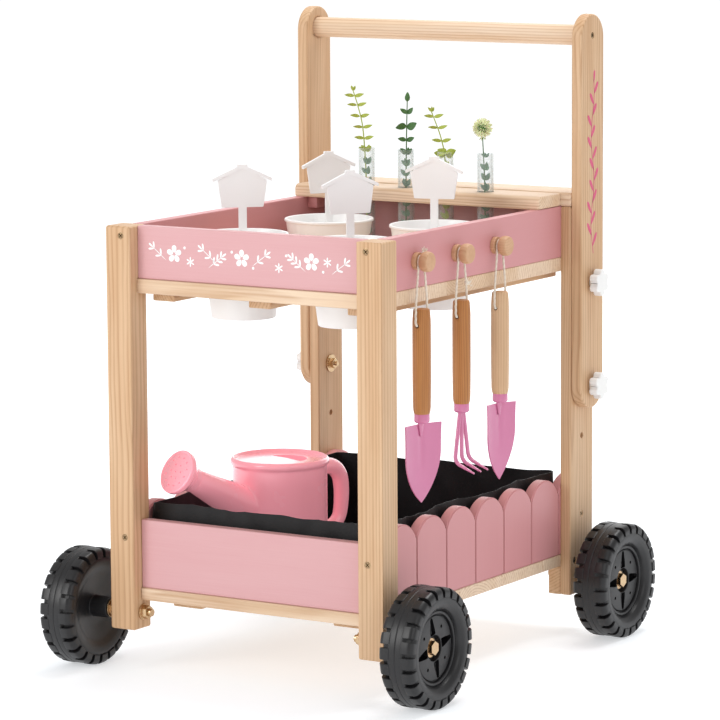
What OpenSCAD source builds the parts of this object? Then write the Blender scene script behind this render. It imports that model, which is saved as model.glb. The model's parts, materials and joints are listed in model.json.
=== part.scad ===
// Push-along gardening cart: two trays between front posts and rear legs, four wheels,
// an adjustable push handle, pots, test-tube vases, hanging tools and a watering can.
// +X is the right side, -Y the front panel, +Z up. The origin is on the floor, midway
// between the axles.

/* [Overall] */
// Width over the outer faces of the posts and legs
frame_w = 334; // [278:1:402]
// Distance between the front axle and the rear axle
wheelbase = 398; // [331:1:478]
// Length of the front posts
post_len = 424; // [353:1:510]

/* [Frame] */
// Side of a square front post
post_s = 30; // [26:1:36]
// Thickness of the rear legs and handle uprights
board_t = 12.5; // [11:0.5:15]
// Width of the rear legs and handle uprights
board_w = 50; // [44:1:58]
// Height of the axle above the bottom of the posts
axle_rise = 18; // [15:0.5:22]
// Thickness of the axle blocks behind the rear legs
axle_block_t = 15; // [12:0.5:18]

/* [Trays] */
// Thickness of the painted panels
panel_t = 12; // [10:0.5:14]
// How far the front panels sit behind the front of the posts
panel_recess = 14; // [10:0.5:16]
// Height of the upper tray panels
upper_panel_h = 55; // [46:1:66]
// Thickness of the upper shelf
upper_shelf_t = 15; // [12:0.5:18]
// Height of the lower tray front and rear panels
lower_panel_h = 72; // [60:1:86]
// Thickness of the lower slats
slat_t = 13; // [10:0.5:16]
// Width of one lower slat
slat_w = 88; // [73:1:105]
// Gap between two lower slats
slat_gap = 0.4; // [0.2:0.1:3]
// Underside of the lower slats above the bottom of the posts
lower_rise = 31; // [31:1:40]
// How far shelf and slats stand out in front of the front panels
shelf_lip = 2.5; // [0:0.5:5]
// Thickness of the battens
batten_t = 10; // [8:0.5:14]
// Width of an upper batten
upper_batten_w = 27; // [18:1:30]
// Width of a lower batten
lower_batten_w = 36; // [30:1:42]
// Gap between an outer upper batten and the side panel
upper_batten_gap = 10; // [6:0.5:12]
// Gap between a lower batten and the picket panel above it
lower_batten_gap = 25.5; // [15:0.5:40]

/* [Picket fence] */
// Width of one picket
picket_w = 59.4; // [50:0.2:72]
// Height of a picket top above the lower slats
picket_h = 86.5; // [80:0.5:104]
// Height of the round part of a picket
picket_arch = 19; // [14:0.5:24]
// Width of the V groove between two pickets
picket_groove = 2.6; // [1:0.1:4]

/* [Handle] */
// Distance between two height holes
hole_pitch = 56; // [48:1:62]
// Top height hole below the underside of the upper shelf
hole_drop = 13; // [11:0.5:16]
// Length of a handle upright
upright_len = 425; // [355:1:510]
// Diameter of the handle bar
bar_d = 22; // [18:0.5:26]
// Centre of the handle bar below the top of the uprights
bar_drop = 23; // [18:0.5:28]
// Depth of the socket that holds the handle bar
bar_socket = 4; // [3:0.5:6]
// Diameter of a height hole
height_hole_d = 6.6; // [6.2:0.1:7.4]
// Diameter of a handle bolt
handle_bolt_d = 6; // [5:0.1:6.1]
// Diameter of a star knob over its lobes
knob_d = 29; // [24:0.5:34]
// Thickness of the star of a knob
knob_t = 10; // [8:0.5:13]

/* [Wheels] */
// Diameter of a wheel over the tread
wheel_d = 124; // [104:1:148]
// Width of a wheel over the tread
wheel_w = 38; // [34:1:46]
// Near side of the tread from the outer face of the post
wheel_gap = 22; // [18:1:28]
// Number of tread notches on each side of a wheel
notch_count = 24; // [18:1:30]
// Depth of a tread notch
notch_depth = 3.5; // [2.5:0.5:4]
// Diameter of the axle bolts
axle_d = 8; // [7:0.5:9]
// Radial running clearance of the wheels on the axle bolts
axle_clear = 0.05; // [0.02:0.01:0.1]

/* [Tube rack] */
// Depth of the rack board with the tube holes
rack_d = 47; // [40:1:56]
// Thickness of the rack board with the tube holes
rack_t = 14; // [12:0.5:17]
// Thickness of the board on the rear legs
rear_board_t = 15; // [12:0.5:18]
// Distance between two tubes
tube_pitch = 50; // [42:1:58]
// Outer diameter of a tube
tube_d = 18; // [15:0.5:20]
// Wall of a tube
tube_wall = 1.2; // [0.9:0.1:1.6]
// Length of a tube
tube_len = 110; // [100:1:132]

/* [Pots and labels] */
// Distance between the two pots of a row
pot_pitch_x = 132; // [122:1:140]
// Pot rim to front panel
pot_front_gap = 30; // [20:1:36]
// Pot rim to rack board
pot_rear_gap = 21; // [14:1:26]
// Diameter of a pot over its rim
pot_d = 96; // [88:1:104]
// Diameter of a pot at the foot
pot_foot_d = 68; // [60:1:72]
// Height of a pot
pot_h = 88; // [80:1:100]
// Height of the straight collar under a pot rim
collar_h = 17; // [14:1:20]
// Wall of a pot
pot_wall = 1.6; // [1.2:0.1:2]
// Diameter of a pot hole in the shelf
pot_hole_d = 80.2; // [78:0.1:83]
// Width of a label over its eaves
label_w = 62; // [52:1:70]
// Height of the square part of a label
label_h = 28; // [24:1:34]
// Rise of a label roof
label_rise = 13; // [10:0.5:16]
// Underside of a label plate above the pot rim
label_lift = 27; // [20:1:34]
// Thickness of a label
label_t = 1.8; // [1.4:0.1:2.6]

/* [Tools] */
// First peg behind the back of the posts
peg_start = 56; // [50:1:60]
// Distance between two pegs
peg_pitch = 79.5; // [76:0.5:86]
// Diameter of a peg head
peg_d = 21; // [18:0.5:24]
// Diameter of a peg neck
peg_neck_d = 9; // [7:0.5:10]
// Diameter of the hanging cord
cord_d = 2.6; // [2:0.1:3]
// Diameter of a tool handle
grip_d = 19; // [17:0.5:21]
// Length of a tool handle
grip_len = 108; // [90:1:130]
// Top of a tool handle below its peg
grip_drop = 48; // [44:1:56]
// Length of a trowel blade below its ferrule
blade_len = 82; // [68:1:98]
// Width of the wide trowel
wide_blade_w = 50; // [42:1:54]
// Width of the narrow trowel
narrow_blade_w = 41; // [34:1:46]
// Thickness of the sheet metal of the tools
sheet_t = 1.6; // [1.2:0.1:2]

/* [Watering can] */
// Outer diameter of the can
can_d = 101; // [86:1:112]
// Height of the can
can_h = 118; // [100:1:136]
// Wall of the can
can_wall = 2; // [1.6:0.1:2.6]
// Reach of the spout from the middle of the can
spout_reach = 140; // [125:1:145]
// Rise of the spout in degrees
spout_rise = 28; // [22:1:32]
// Diameter of the rose
rose_d = 48; // [40:1:52]
// Thickness of the round can handle
can_grip_d = 15; // [12:0.5:17]

/* [Hidden] */

$fn = 48;
pine = [0.87, 0.72, 0.52];
oak = [0.72, 0.52, 0.32];
pink = [0.86, 0.6, 0.62];
hot_pink = [0.9, 0.5, 0.68];
can_pink = [0.96, 0.56, 0.63];
plain_white = [0.95, 0.95, 0.95];
zinc = [0.82, 0.7, 0.42];
tyre_black = [0.08, 0.08, 0.09];
glass = [0.8, 0.9, 0.88, 0.4];
leaf = [0.45, 0.6, 0.25];

// Small clearances and shared hardware sizes
rest_gap = 0.3;
screw_fit = 0.1;
cut = 0.5;
screw_d = 3.6;
screw_head_d = 8;
screw_head_h = 3;
screw_len = 42;
washer_t = 1.6;
axle_nut_t = 6.5;
axle_nut_flat = 13;
handle_nut_t = 5;
handle_nut_flat = 10;
handle_washer_r = 10;

// Places across and along the cart
half_w = frame_w / 2;
side_out = half_w - board_t;
side_in = side_out - panel_t;
front_axle_y = -wheelbase / 2;
rear_axle_y = wheelbase / 2;
post_front = front_axle_y - post_s / 2;
post_back = post_front + post_s;
leg_front = rear_axle_y - board_w / 2;
leg_back = leg_front + board_w;
post_in = half_w - post_s;
panel_front = post_front + panel_recess;
panel_back = panel_front + panel_t;
shelf_front = panel_front - shelf_lip;
rear_panel_front = rear_axle_y - panel_t / 2;
rear_panel_back = rear_panel_front + panel_t;

// Heights
axle_z = wheel_d / 2;
post_bottom = axle_z - axle_rise;
tray_top = post_bottom + post_len;
shelf_top = tray_top - upper_panel_h;
shelf_bottom = shelf_top - upper_shelf_t;
slat_bottom = post_bottom + lower_rise;
slat_top = slat_bottom + slat_t;
lower_top = slat_top + lower_panel_h;
rack_top = tray_top + rack_t;
rack_front = leg_front - rack_d;
top_hole_z = shelf_bottom - hole_drop;
hole_zs = [for (i = [0:3]) top_hole_z - i * hole_pitch];
upper_knob_z = hole_zs[0];
lower_knob_z = hole_zs[2];
upright_bottom = lower_knob_z - board_w / 2;
upright_top = upright_bottom + upright_len;
bar_z = upright_top - bar_drop;
upright_out = half_w + board_t;
peg_z = shelf_top + upper_panel_h / 2;
peg_ys = [for (i = [0:2]) post_back + peg_start + i * peg_pitch];

// A box between two corners
module block(low, high) {
    translate(low) cube(high - low);
}

// A round bar along X
module rod_x(x0, x1, y, z, r) {
    translate([x0, y, z]) rotate([0, 90, 0]) cylinder(h = x1 - x0, r = r);
}

// A hexagon prism along X with a round bore
module nut_x(x0, x1, y, z, flat, bore_r) {
    difference() {
        translate([x0, y, z]) rotate([0, 90, 0])
            cylinder(h = x1 - x0, r = flat / sqrt(3), $fn = 6);
        rod_x(x0 - cut, x1 + cut, y, z, bore_r);
    }
}

// A washer across X
module washer_x(x0, x1, y, z, r, bore_r) {
    difference() {
        rod_x(x0, x1, y, z, r);
        rod_x(x0 - cut, x1 + cut, y, z, bore_r);
    }
}

// The children as they are on the right (side 1) or mirrored to the left (side -1)
module on_side(side) {
    mirror([side < 0 ? 1 : 0, 0, 0]) children();
}

// ---- wood screws ----
front_screw_x = side_out - panel_t / 2;
front_screw_zs = [tray_top - 10, lower_top - 18];
leg_screws = [[rear_axle_y, shelf_top + upper_panel_h / 2], [rear_axle_y, lower_top - 29],
    [leg_front + 10, slat_bottom + slat_t / 2]];

// One countersunk screw pointing along +Z from its head
module screw(extra) {
    cylinder(h = screw_head_h, r1 = screw_head_d / 2 + extra, r2 = screw_d / 2 + extra);
    translate([0, 0, screw_head_h - 0.01]) cylinder(h = screw_len, r = screw_d / 2 + extra);
}

// Screws of the right half of the cart
module screws_right(extra) {
    for (z = front_screw_zs)
        translate([front_screw_x, post_front, z]) rotate([-90, 0, 0]) screw(extra);
    for (p = leg_screws)
        translate([half_w, p[0], p[1]]) rotate([0, -90, 0]) screw(extra);
    translate([upright_out, rear_axle_y, bar_z]) rotate([0, -90, 0]) screw(extra);
}

module screw_holes() {
    for (side = [-1, 1]) on_side(side) screws_right(screw_fit);
}

module wood_screws() {
    color(zinc) for (side = [-1, 1]) on_side(side) screws_right(0);
}

// ---- posts and legs ----
module post_right() {
    color(pine) difference() {
        block([post_in, post_front, post_bottom], [half_w, post_back, tray_top]);
        rod_x(post_in - cut, half_w + cut, front_axle_y, axle_z, axle_d / 2 + screw_fit);
        screw_holes();
    }
}

module leg_right() {
    color(pine) difference() {
        block([side_out, leg_front, post_bottom], [half_w, leg_back, tray_top]);
        rod_x(side_out - cut, half_w + cut, rear_axle_y, axle_z, axle_d / 2 + screw_fit);
        for (z = hole_zs)
            rod_x(side_out - cut, half_w + cut, rear_axle_y, z, height_hole_d / 2);
        screw_holes();
    }
}

module front_left_post() { on_side(-1) post_right(); }
module front_right_post() { post_right(); }
module rear_left_leg() { on_side(-1) leg_right(); }
module rear_right_leg() { leg_right(); }

// ---- upper tray ----
module upper_front_panel() {
    color(pink) block([-post_in, panel_front, shelf_top], [post_in, panel_back, tray_top]);
}

module upper_rear_panel() {
    color(pink) difference() {
        block([-side_in, rear_panel_front, shelf_top], [side_in, rear_panel_back, tray_top]);
        screw_holes();
    }
}

peg_tenon_r = 3;
peg_tenon_len = 8;

module side_panel_right(with_pegs) {
    color(pink) difference() {
        block([side_in, post_back, shelf_top], [side_out, leg_back, tray_top]);
        screw_holes();
        if (with_pegs)
            for (y = peg_ys)
                rod_x(side_out - peg_tenon_len - screw_fit, side_out + cut, y, peg_z,
                    peg_tenon_r + screw_fit);
    }
}

module upper_left_panel() { on_side(-1) side_panel_right(false); }
module upper_right_panel() { side_panel_right(true); }

// Pots stand in pairs: a front row and a rear row
pot_ys = [panel_back + pot_front_gap + pot_d / 2, rack_front - pot_rear_gap - pot_d / 2];

module upper_shelf() {
    color(pine) difference() {
        union() {
            block([-side_out, post_back, shelf_bottom], [side_out, leg_back, shelf_top]);
            block([-post_in, shelf_front, shelf_bottom], [post_in, post_back, shelf_top]);
        }
        for (side = [-1, 1], y = pot_ys)
            translate([side * pot_pitch_x / 2, y, shelf_bottom - cut])
                cylinder(h = upper_shelf_t + 2 * cut, r = pot_hole_d / 2, $fn = 96);
    }
}

// ---- battens under both shelves and blocks behind the rear axles ----
upper_batten_front = post_back + 4;
lower_batten_front = post_back + 12;
batten_back = leg_back - 20;
upper_batten_x = side_in - upper_batten_gap - upper_batten_w / 2;
lower_batten_x = side_in - lower_batten_gap - lower_batten_w / 2;

module battens_and_blocks() {
    color(pine) {
        for (x = [-upper_batten_x, 0, upper_batten_x])
            block([x - upper_batten_w / 2, upper_batten_front, shelf_bottom - batten_t],
                [x + upper_batten_w / 2, batten_back, shelf_bottom]);
        for (x = [-lower_batten_x, lower_batten_x])
            block([x - lower_batten_w / 2, lower_batten_front, slat_bottom - batten_t],
                [x + lower_batten_w / 2, batten_back, slat_bottom]);
        for (side = [-1, 1]) on_side(side) difference() {
            block([side_out - axle_block_t, leg_front, post_bottom],
                [side_out, leg_back, slat_bottom]);
            rod_x(side_out - axle_block_t - cut, side_out + cut, rear_axle_y, axle_z,
                axle_d / 2 + screw_fit);
        }
    }
}

// ---- tube rack ----
cleat_w = 12;
cleat_h = 13;
cleat_inset = 8;

module rack_cleats() {
    color(pink) for (side = [-1, 1]) on_side(side)
        block([side_in - cleat_w, rack_front + cleat_inset, tray_top - cleat_h],
            [side_in, rear_panel_front, tray_top]);
}

tube_xs = [for (i = [0:3]) (i - 1.5) * tube_pitch];
tube_y = rack_front + rack_d / 2;
tube_fit = 0.4;
rack_edge_r = 6;

module tube_rack_board() {
    color(pine) difference() {
        translate([side_out, 0, 0]) rotate([0, -90, 0]) linear_extrude(2 * side_out) union() {
            translate([tray_top, rack_front + rack_edge_r]) square([rack_t, rack_d - rack_edge_r]);
            translate([tray_top, rack_front]) square([rack_t - rack_edge_r, rack_d / 2]);
            translate([rack_top - rack_edge_r, rack_front + rack_edge_r]) circle(r = rack_edge_r);
        }
        for (x = tube_xs)
            translate([x, tube_y, tray_top - cut])
                cylinder(h = rack_t + 2 * cut, r = tube_d / 2 + tube_fit);
    }
}

module rear_top_board() {
    color(pine) block([-half_w, leg_front, tray_top], [half_w, leg_back, tray_top + rear_board_t]);
}

// ---- lower tray ----
module lower_front_panel() {
    color(pink) block([-post_in, panel_front, slat_top], [post_in, panel_back, lower_top]);
}

module lower_rear_panel() {
    color(pink) difference() {
        block([-side_in, rear_panel_front, slat_top], [side_in, rear_panel_back, lower_top]);
        screw_holes();
    }
}

// The last groove lies just in front of the rear leg, and the fence runs on behind it
fence_len = leg_back - post_back;
picket_last = leg_front - 3;
picket_arc_r = (pow(picket_w / 2, 2) + pow(picket_arch, 2)) / (2 * picket_arch);
picket_count = ceil((picket_last - post_back) / picket_w);
picket_top = slat_top + picket_h;

// Outline of one picket centred on y, with Z upward
module picket_outline(y) {
    translate([y - picket_w / 2, slat_top]) square([picket_w, picket_h - picket_arch]);
    intersection() {
        translate([y, picket_top - picket_arc_r]) circle(r = picket_arc_r, $fn = 96);
        translate([y - picket_w / 2, picket_top - picket_arch - 1]) square([picket_w, picket_arch + 2]);
    }
}

groove_half = picket_groove / (2 * sqrt(2));

module picket_panel_right() {
    color(pink) difference() {
        translate([side_in, 0, 0]) rotate([90, 0, 90]) linear_extrude(panel_t) intersection() {
            union() for (i = [-1:picket_count - 1]) picket_outline(picket_last - (i + 0.5) * picket_w);
            translate([post_back, slat_top]) square([fence_len, picket_h + 1]);
        }
        for (i = [0:picket_count - 1])
            translate([side_out, picket_last - i * picket_w, slat_top - cut])
                rotate([0, 0, 45]) block([-groove_half, -groove_half, 0],
                    [groove_half, groove_half, picket_h]);
        screw_holes();
    }
}

module left_picket_panel() { on_side(-1) picket_panel_right(); }
module right_picket_panel() { picket_panel_right(); }

slat_step = slat_w + slat_gap;
slat_count = ceil((leg_back - shelf_front) / slat_step);

// Slats are counted from the rear, and the first one is cut to fit between the posts
module lower_shelf_slats() {
    color(pine) difference() {
        union() for (i = [0:slat_count - 1]) {
            low = max(leg_back - i * slat_step - slat_w, post_back);
            high = leg_back - i * slat_step;
            front = max(leg_back - i * slat_step - slat_w, shelf_front);
            if (high > post_back)
                block([-side_out, low, slat_bottom], [side_out, high, slat_top]);
            if (front < post_back)
                block([-post_in, front, slat_bottom], [post_in, min(high, post_back), slat_top]);
        }
        screw_holes();
    }
}

// ---- pegs for the tools ----
peg_base_d = 18;
peg_base_t = 5;
peg_neck_len = 4;
peg_head_t = 9.5;
cord_x = side_out + peg_base_t + peg_neck_len / 2;

// Half section of a peg: [radius, distance out of the panel]
module peg_outline() {
    head_at = peg_base_t + peg_neck_len;
    union() {
        translate([0, -peg_tenon_len]) square([peg_tenon_r, peg_tenon_len + 1]);
        square([peg_base_d / 2, peg_base_t]);
        square([peg_neck_d / 2, head_at + 1]);
        intersection() {
            translate([0, head_at + peg_head_t / 2]) circle(r = peg_d / 2);
            translate([0, head_at]) square([peg_d, peg_head_t]);
        }
    }
}

module tool_pegs() {
    color(pine) for (y = peg_ys)
        translate([side_out, y, peg_z]) rotate([0, 90, 0]) rotate_extrude() peg_outline();
}

// ---- handle ----
bar_fit = 0.1;

module upright_right() {
    color(pine) difference() {
        translate([half_w, 0, 0]) rotate([90, 0, 90]) linear_extrude(board_t) union() {
            translate([leg_front, upright_bottom + board_w / 2])
                square([board_w, upright_len - board_w]);
            for (z = [upright_bottom, upright_top - board_w])
                translate([rear_axle_y, z + board_w / 2]) circle(d = board_w, $fn = 96);
        }
        rod_x(half_w - cut, half_w + bar_socket, rear_axle_y, bar_z, bar_d / 2 + bar_fit);
        for (z = [upper_knob_z, lower_knob_z])
            rod_x(half_w - cut, upright_out + cut, rear_axle_y, z, height_hole_d / 2);
        screw_holes();
    }
}

module left_upright() { on_side(-1) upright_right(); }
module right_upright() { upright_right(); }

module handle_bar() {
    color(pine) difference() {
        rod_x(-half_w - bar_socket + bar_fit, half_w + bar_socket - bar_fit, rear_axle_y, bar_z,
            bar_d / 2);
        screw_holes();
    }
}

// ---- star knobs ----
knob_lobes = 6;
knob_lobe_r = 4.2;
knob_core_r = knob_d / 2 - 3.5;
knob_hub_r = 8;
knob_hub_t = 3;
knob_back = upright_out + rest_gap;
knob_face = knob_back + knob_hub_t + knob_t;
knob_thread = 8;

module knob_right(z) {
    color(plain_white) difference() {
        union() {
            rod_x(knob_back, knob_back + knob_hub_t + cut, rear_axle_y, z, knob_hub_r);
            translate([knob_back + knob_hub_t, rear_axle_y, z]) rotate([90, 0, 90])
                linear_extrude(knob_t) union() {
                    circle(r = knob_core_r);
                    for (a = [0:360 / knob_lobes:359])
                        rotate(a + 30) translate([knob_d / 2 - knob_lobe_r, 0])
                            circle(r = knob_lobe_r, $fn = 24);
                }
        }
        rod_x(knob_back - cut, knob_back + knob_thread, rear_axle_y, z,
            handle_bolt_d / 2 + axle_clear);
    }
}

module left_upper_knob() { on_side(-1) knob_right(upper_knob_z); }
module left_lower_knob() { on_side(-1) knob_right(lower_knob_z); }
module right_upper_knob() { knob_right(upper_knob_z); }
module right_lower_knob() { knob_right(lower_knob_z); }

// ---- wheels: two moulded half shells that meet at the middle of the tread ----
wheel_r = wheel_d / 2;
tread_in = half_w + wheel_gap;
tread_out = tread_in + wheel_w;
wheel_mid = tread_in + wheel_w / 2;
spacer_end = half_w + washer_t + axle_nut_t + washer_t;
boss_in = spacer_end + rest_gap;
hub_out = wheel_mid + 4;
wheel_wall = 2.6;
shoulder = 5;
side_r = wheel_r - 12;
rim_r = 33;
boss_r = 11;
hub_r = axle_d / 2 + axle_clear;
outer_dish = 9;
inner_dish = 9;
notch_band = 5.5;
notch_angle = 6.2;
bolt_recess_r = 12;

// Half section of the outer shell: [radius, distance along the axle]
module outer_shell_outline() {
    polygon([[hub_r, wheel_mid], [boss_r, wheel_mid], [boss_r, hub_out - wheel_wall],
        [bolt_recess_r + wheel_wall, hub_out - wheel_wall],
        [bolt_recess_r + wheel_wall, tread_out - outer_dish - wheel_wall],
        [rim_r, tread_out - outer_dish - wheel_wall], [side_r, tread_out - wheel_wall],
        [wheel_r - shoulder, tread_out - shoulder], [wheel_r - shoulder, wheel_mid],
        [wheel_r, wheel_mid], [wheel_r, tread_out - shoulder],
        [wheel_r - shoulder, tread_out - 1], [side_r, tread_out],
        [side_r - 4, tread_out - 1], [rim_r + 3, tread_out - outer_dish + 1],
        [rim_r, tread_out - outer_dish + 1.6], [rim_r - 1.6, tread_out - outer_dish],
        [bolt_recess_r, tread_out - outer_dish], [bolt_recess_r, hub_out], [hub_r, hub_out]]);
}

// Half section of the inner shell with its long boss towards the post
module inner_shell_outline() {
    polygon([[hub_r, wheel_mid], [hub_r, boss_in], [boss_r, boss_in],
        [boss_r, tread_in + inner_dish], [rim_r, tread_in + inner_dish - 3],
        [rim_r + 3, tread_in + 2.5], [side_r - 3, tread_in + 1], [side_r, tread_in],
        [wheel_r - shoulder, tread_in + 1], [wheel_r, tread_in + shoulder],
        [wheel_r, wheel_mid], [wheel_r - shoulder, wheel_mid],
        [wheel_r - shoulder, tread_in + shoulder], [side_r, tread_in + wheel_wall],
        [rim_r, tread_in + inner_dish - 3 + wheel_wall],
        [boss_r, tread_in + inner_dish + wheel_wall], [boss_r, wheel_mid]]);
}

// Places the children, revolved about Z, with their axis along X at a wheel's axle
module on_axle(y) {
    translate([0, y, axle_z]) rotate([0, 90, 0]) children();
}

// Notches of one side of the tread, between two distances along the axle
module tread_notches(from, to, turn) {
    for (i = [0:notch_count - 1])
        rotate(turn + i * 360 / notch_count) rotate_extrude(angle = notch_angle)
            translate([wheel_r - notch_depth, from]) square([notch_depth + 2, to - from]);
}

slot_w = 9;
slot_d = 3;
slot_in_r = bolt_recess_r + 4;
slot_out_r = rim_r - 3;
face_hole_r = 1.6;
face_hole_at = 23;

module wheel_right(y, turn) {
    color(tyre_black) {
        on_axle(y) difference() {
            rotate_extrude($fn = 96) outer_shell_outline();
            tread_notches(wheel_mid + notch_band, tread_out + 1, 0);
            for (a = [0:90:270]) rotate(a + turn) {
                translate([slot_in_r, -slot_w / 2, tread_out - outer_dish - slot_d])
                    cube([slot_out_r - slot_in_r, slot_w, slot_d + 1]);
                rotate(45) translate([face_hole_at, 0, tread_out - outer_dish - 6])
                    cylinder(h = 8, r = face_hole_r, $fn = 24);
            }
        }
        on_axle(y) difference() {
            rotate_extrude($fn = 96) inner_shell_outline();
            tread_notches(tread_in - 1, wheel_mid - notch_band, 180 / notch_count);
        }
    }
}

module front_left_wheel() { on_side(-1) wheel_right(front_axle_y, 10); }
module front_right_wheel() { wheel_right(front_axle_y, 25); }
module rear_left_wheel() { on_side(-1) wheel_right(rear_axle_y, 40); }
module rear_right_wheel() { wheel_right(rear_axle_y, 0); }

// ---- steel bolts, nuts and washers ----
axle_washer_r = 9;
hub_washer_r = 10;
axle_head_t = 5;
axle_tail = 4;
bolt_fit = 0.05;
handle_tail = 3;

// One axle from its inner nut to its outer head; inner is the inner face of the wood
module axle_set(y, inner) {
    head = hub_out + rest_gap + washer_t;
    nut_in = inner - washer_t - axle_nut_t;
    rod_x(nut_in - axle_tail, head + cut, y, axle_z, axle_d / 2);
    translate([head, y, axle_z]) rotate([0, 90, 0])
        cylinder(h = axle_head_t, r = axle_nut_flat / sqrt(3), $fn = 6);
    washer_x(hub_out + rest_gap, head, y, axle_z, hub_washer_r, axle_d / 2 + bolt_fit);
    washer_x(half_w, half_w + washer_t, y, axle_z, axle_washer_r, axle_d / 2 + bolt_fit);
    nut_x(half_w + washer_t, half_w + washer_t + axle_nut_t, y, axle_z, axle_nut_flat,
        axle_d / 2 + bolt_fit);
    washer_x(half_w + washer_t + axle_nut_t, spacer_end, y, axle_z, hub_washer_r,
        axle_d / 2 + bolt_fit);
    washer_x(inner - washer_t, inner, y, axle_z, axle_washer_r - 0.5, axle_d / 2 + bolt_fit);
    nut_x(nut_in, inner - washer_t, y, axle_z, axle_nut_flat, axle_d / 2 + bolt_fit);
}

// One handle bolt with its head and washer inside the leg and its end in the knob
module handle_bolt_set(z) {
    head = side_out - washer_t - handle_nut_t;
    rod_x(head + cut, knob_back + knob_thread - 1, rear_axle_y, z, handle_bolt_d / 2);
    translate([head, rear_axle_y, z]) rotate([0, 90, 0])
        cylinder(h = handle_nut_t, r = handle_nut_flat / sqrt(3), $fn = 6);
    rod_x(head - handle_tail, head + cut, rear_axle_y, z, handle_bolt_d / 2 - 0.5);
    washer_x(side_out - washer_t, side_out, rear_axle_y, z, handle_washer_r,
        handle_bolt_d / 2 + bolt_fit);
}

module bolts_nuts_washers() {
    color(zinc) for (side = [-1, 1]) on_side(side) {
        axle_set(front_axle_y, post_in);
        axle_set(rear_axle_y, side_out - axle_block_t);
        handle_bolt_set(upper_knob_z);
        handle_bolt_set(lower_knob_z);
    }
}

// ---- pots ----
pot_rim_h = 3;
collar_out_r = pot_d / 2 - 1.5;
collar_low_r = pot_d / 2 - 3.5;
cone_top_r = collar_low_r - 1.5;
cone_h = pot_h - collar_h;
foot_r = pot_foot_d / 2;
pot_seat_h = (pot_hole_d / 2 - rest_gap - foot_r) / (cone_top_r - foot_r) * cone_h;
pot_bottom = shelf_top - pot_seat_h;
pot_rim_z = pot_bottom + pot_h;
pot_floor_t = 2;
foot_notch = 5;
foot_recess = 4;

module pot(x, y) {
    color(plain_white) translate([x, y, pot_bottom]) difference() {
        rotate_extrude($fn = 96) polygon([[0, foot_recess], [foot_r - 3, foot_recess],
            [foot_r - 3, 0], [foot_r, 0], [cone_top_r, cone_h], [collar_low_r, cone_h],
            [collar_out_r, pot_h - pot_rim_h], [pot_d / 2, pot_h - pot_rim_h], [pot_d / 2, pot_h],
            [collar_out_r - pot_wall, pot_h], [collar_low_r - pot_wall, cone_h + pot_wall],
            [cone_top_r - pot_wall, cone_h + pot_wall],
            [foot_r - pot_wall - 1, foot_recess + pot_floor_t], [0, foot_recess + pot_floor_t]]);
        for (a = [0:60:359]) rotate(a) translate([foot_r - 6, -foot_notch, -cut])
            cube([12, 2 * foot_notch, foot_recess / 2 + cut]);
        for (a = [30:60:359]) rotate(a) translate([foot_r / 2, 0, -cut])
            cylinder(h = 12, r = 3, $fn = 24);
    }
}

pot_x = pot_pitch_x / 2;
module front_left_pot() { pot(-pot_x, pot_ys[0]); }
module front_right_pot() { pot(pot_x, pot_ys[0]); }
module rear_left_pot() { pot(-pot_x, pot_ys[1]); }
module rear_right_pot() { pot(pot_x, pot_ys[1]); }

// ---- plant labels ----
label_foot = pot_bottom + foot_recess + pot_floor_t + rest_gap;
label_base = pot_rim_z + label_lift;
stem_w = 8.5;
label_low_w = 44;
label_high_w = 52;
peak_shift = 4;
roof_band = 3;

// The plate stands across the pot, turned about Z
module label(x, y, turn) {
    color(plain_white) translate([x, y, 0]) rotate([90, 0, turn])
        translate([0, 0, -label_t / 2]) linear_extrude(label_t) {
            eaves = label_base + label_h;
            translate([-stem_w / 2, label_foot]) square([stem_w, label_base - label_foot + 1]);
            polygon([[-label_low_w / 2, label_base], [label_low_w / 2, label_base],
                [label_high_w / 2, eaves], [label_w / 2, eaves - roof_band + 1],
                [label_w / 2, eaves + roof_band], [peak_shift + 4, eaves + label_rise - 1],
                [peak_shift + 4, eaves + label_rise + 2], [peak_shift, eaves + label_rise + 2],
                [peak_shift, eaves + label_rise], [-label_w / 2, eaves + roof_band],
                [-label_w / 2, eaves - roof_band + 1], [-label_high_w / 2, eaves]]);
        }
}

module front_left_label() { label(-pot_x, pot_ys[0], 42); }
module front_right_label() { label(pot_x, pot_ys[0], 235); }
module rear_left_label() { label(-pot_x, pot_ys[1], 238); }
module rear_right_label() { label(pot_x, pot_ys[1], 16); }

// ---- test tubes and sprigs ----
tube_foot = shelf_top + rest_gap;
tube_r = tube_d / 2;
tube_bore_r = tube_r - tube_wall;

module tube(i) {
    color(glass) translate([tube_xs[i], tube_y, tube_foot]) difference() {
        union() {
            translate([0, 0, tube_r]) sphere(r = tube_r);
            translate([0, 0, tube_r]) cylinder(h = tube_len - tube_r, r = tube_r);
        }
        translate([0, 0, tube_r]) sphere(r = tube_bore_r);
        translate([0, 0, tube_r]) cylinder(h = tube_len, r = tube_bore_r);
    }
}

module test_tube_1() { tube(0); }
module test_tube_2() { tube(1); }
module test_tube_3() { tube(2); }
module test_tube_4() { tube(3); }

stalk_r = 1;
bend_r = 1.3;
leaf_turn = 70;
leaf_r = 4;
leaf_t = 1.2;
stalk_foot = tube_foot + tube_wall + rest_gap;
stalk_bend = tube_foot + tube_len - 2;

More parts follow.
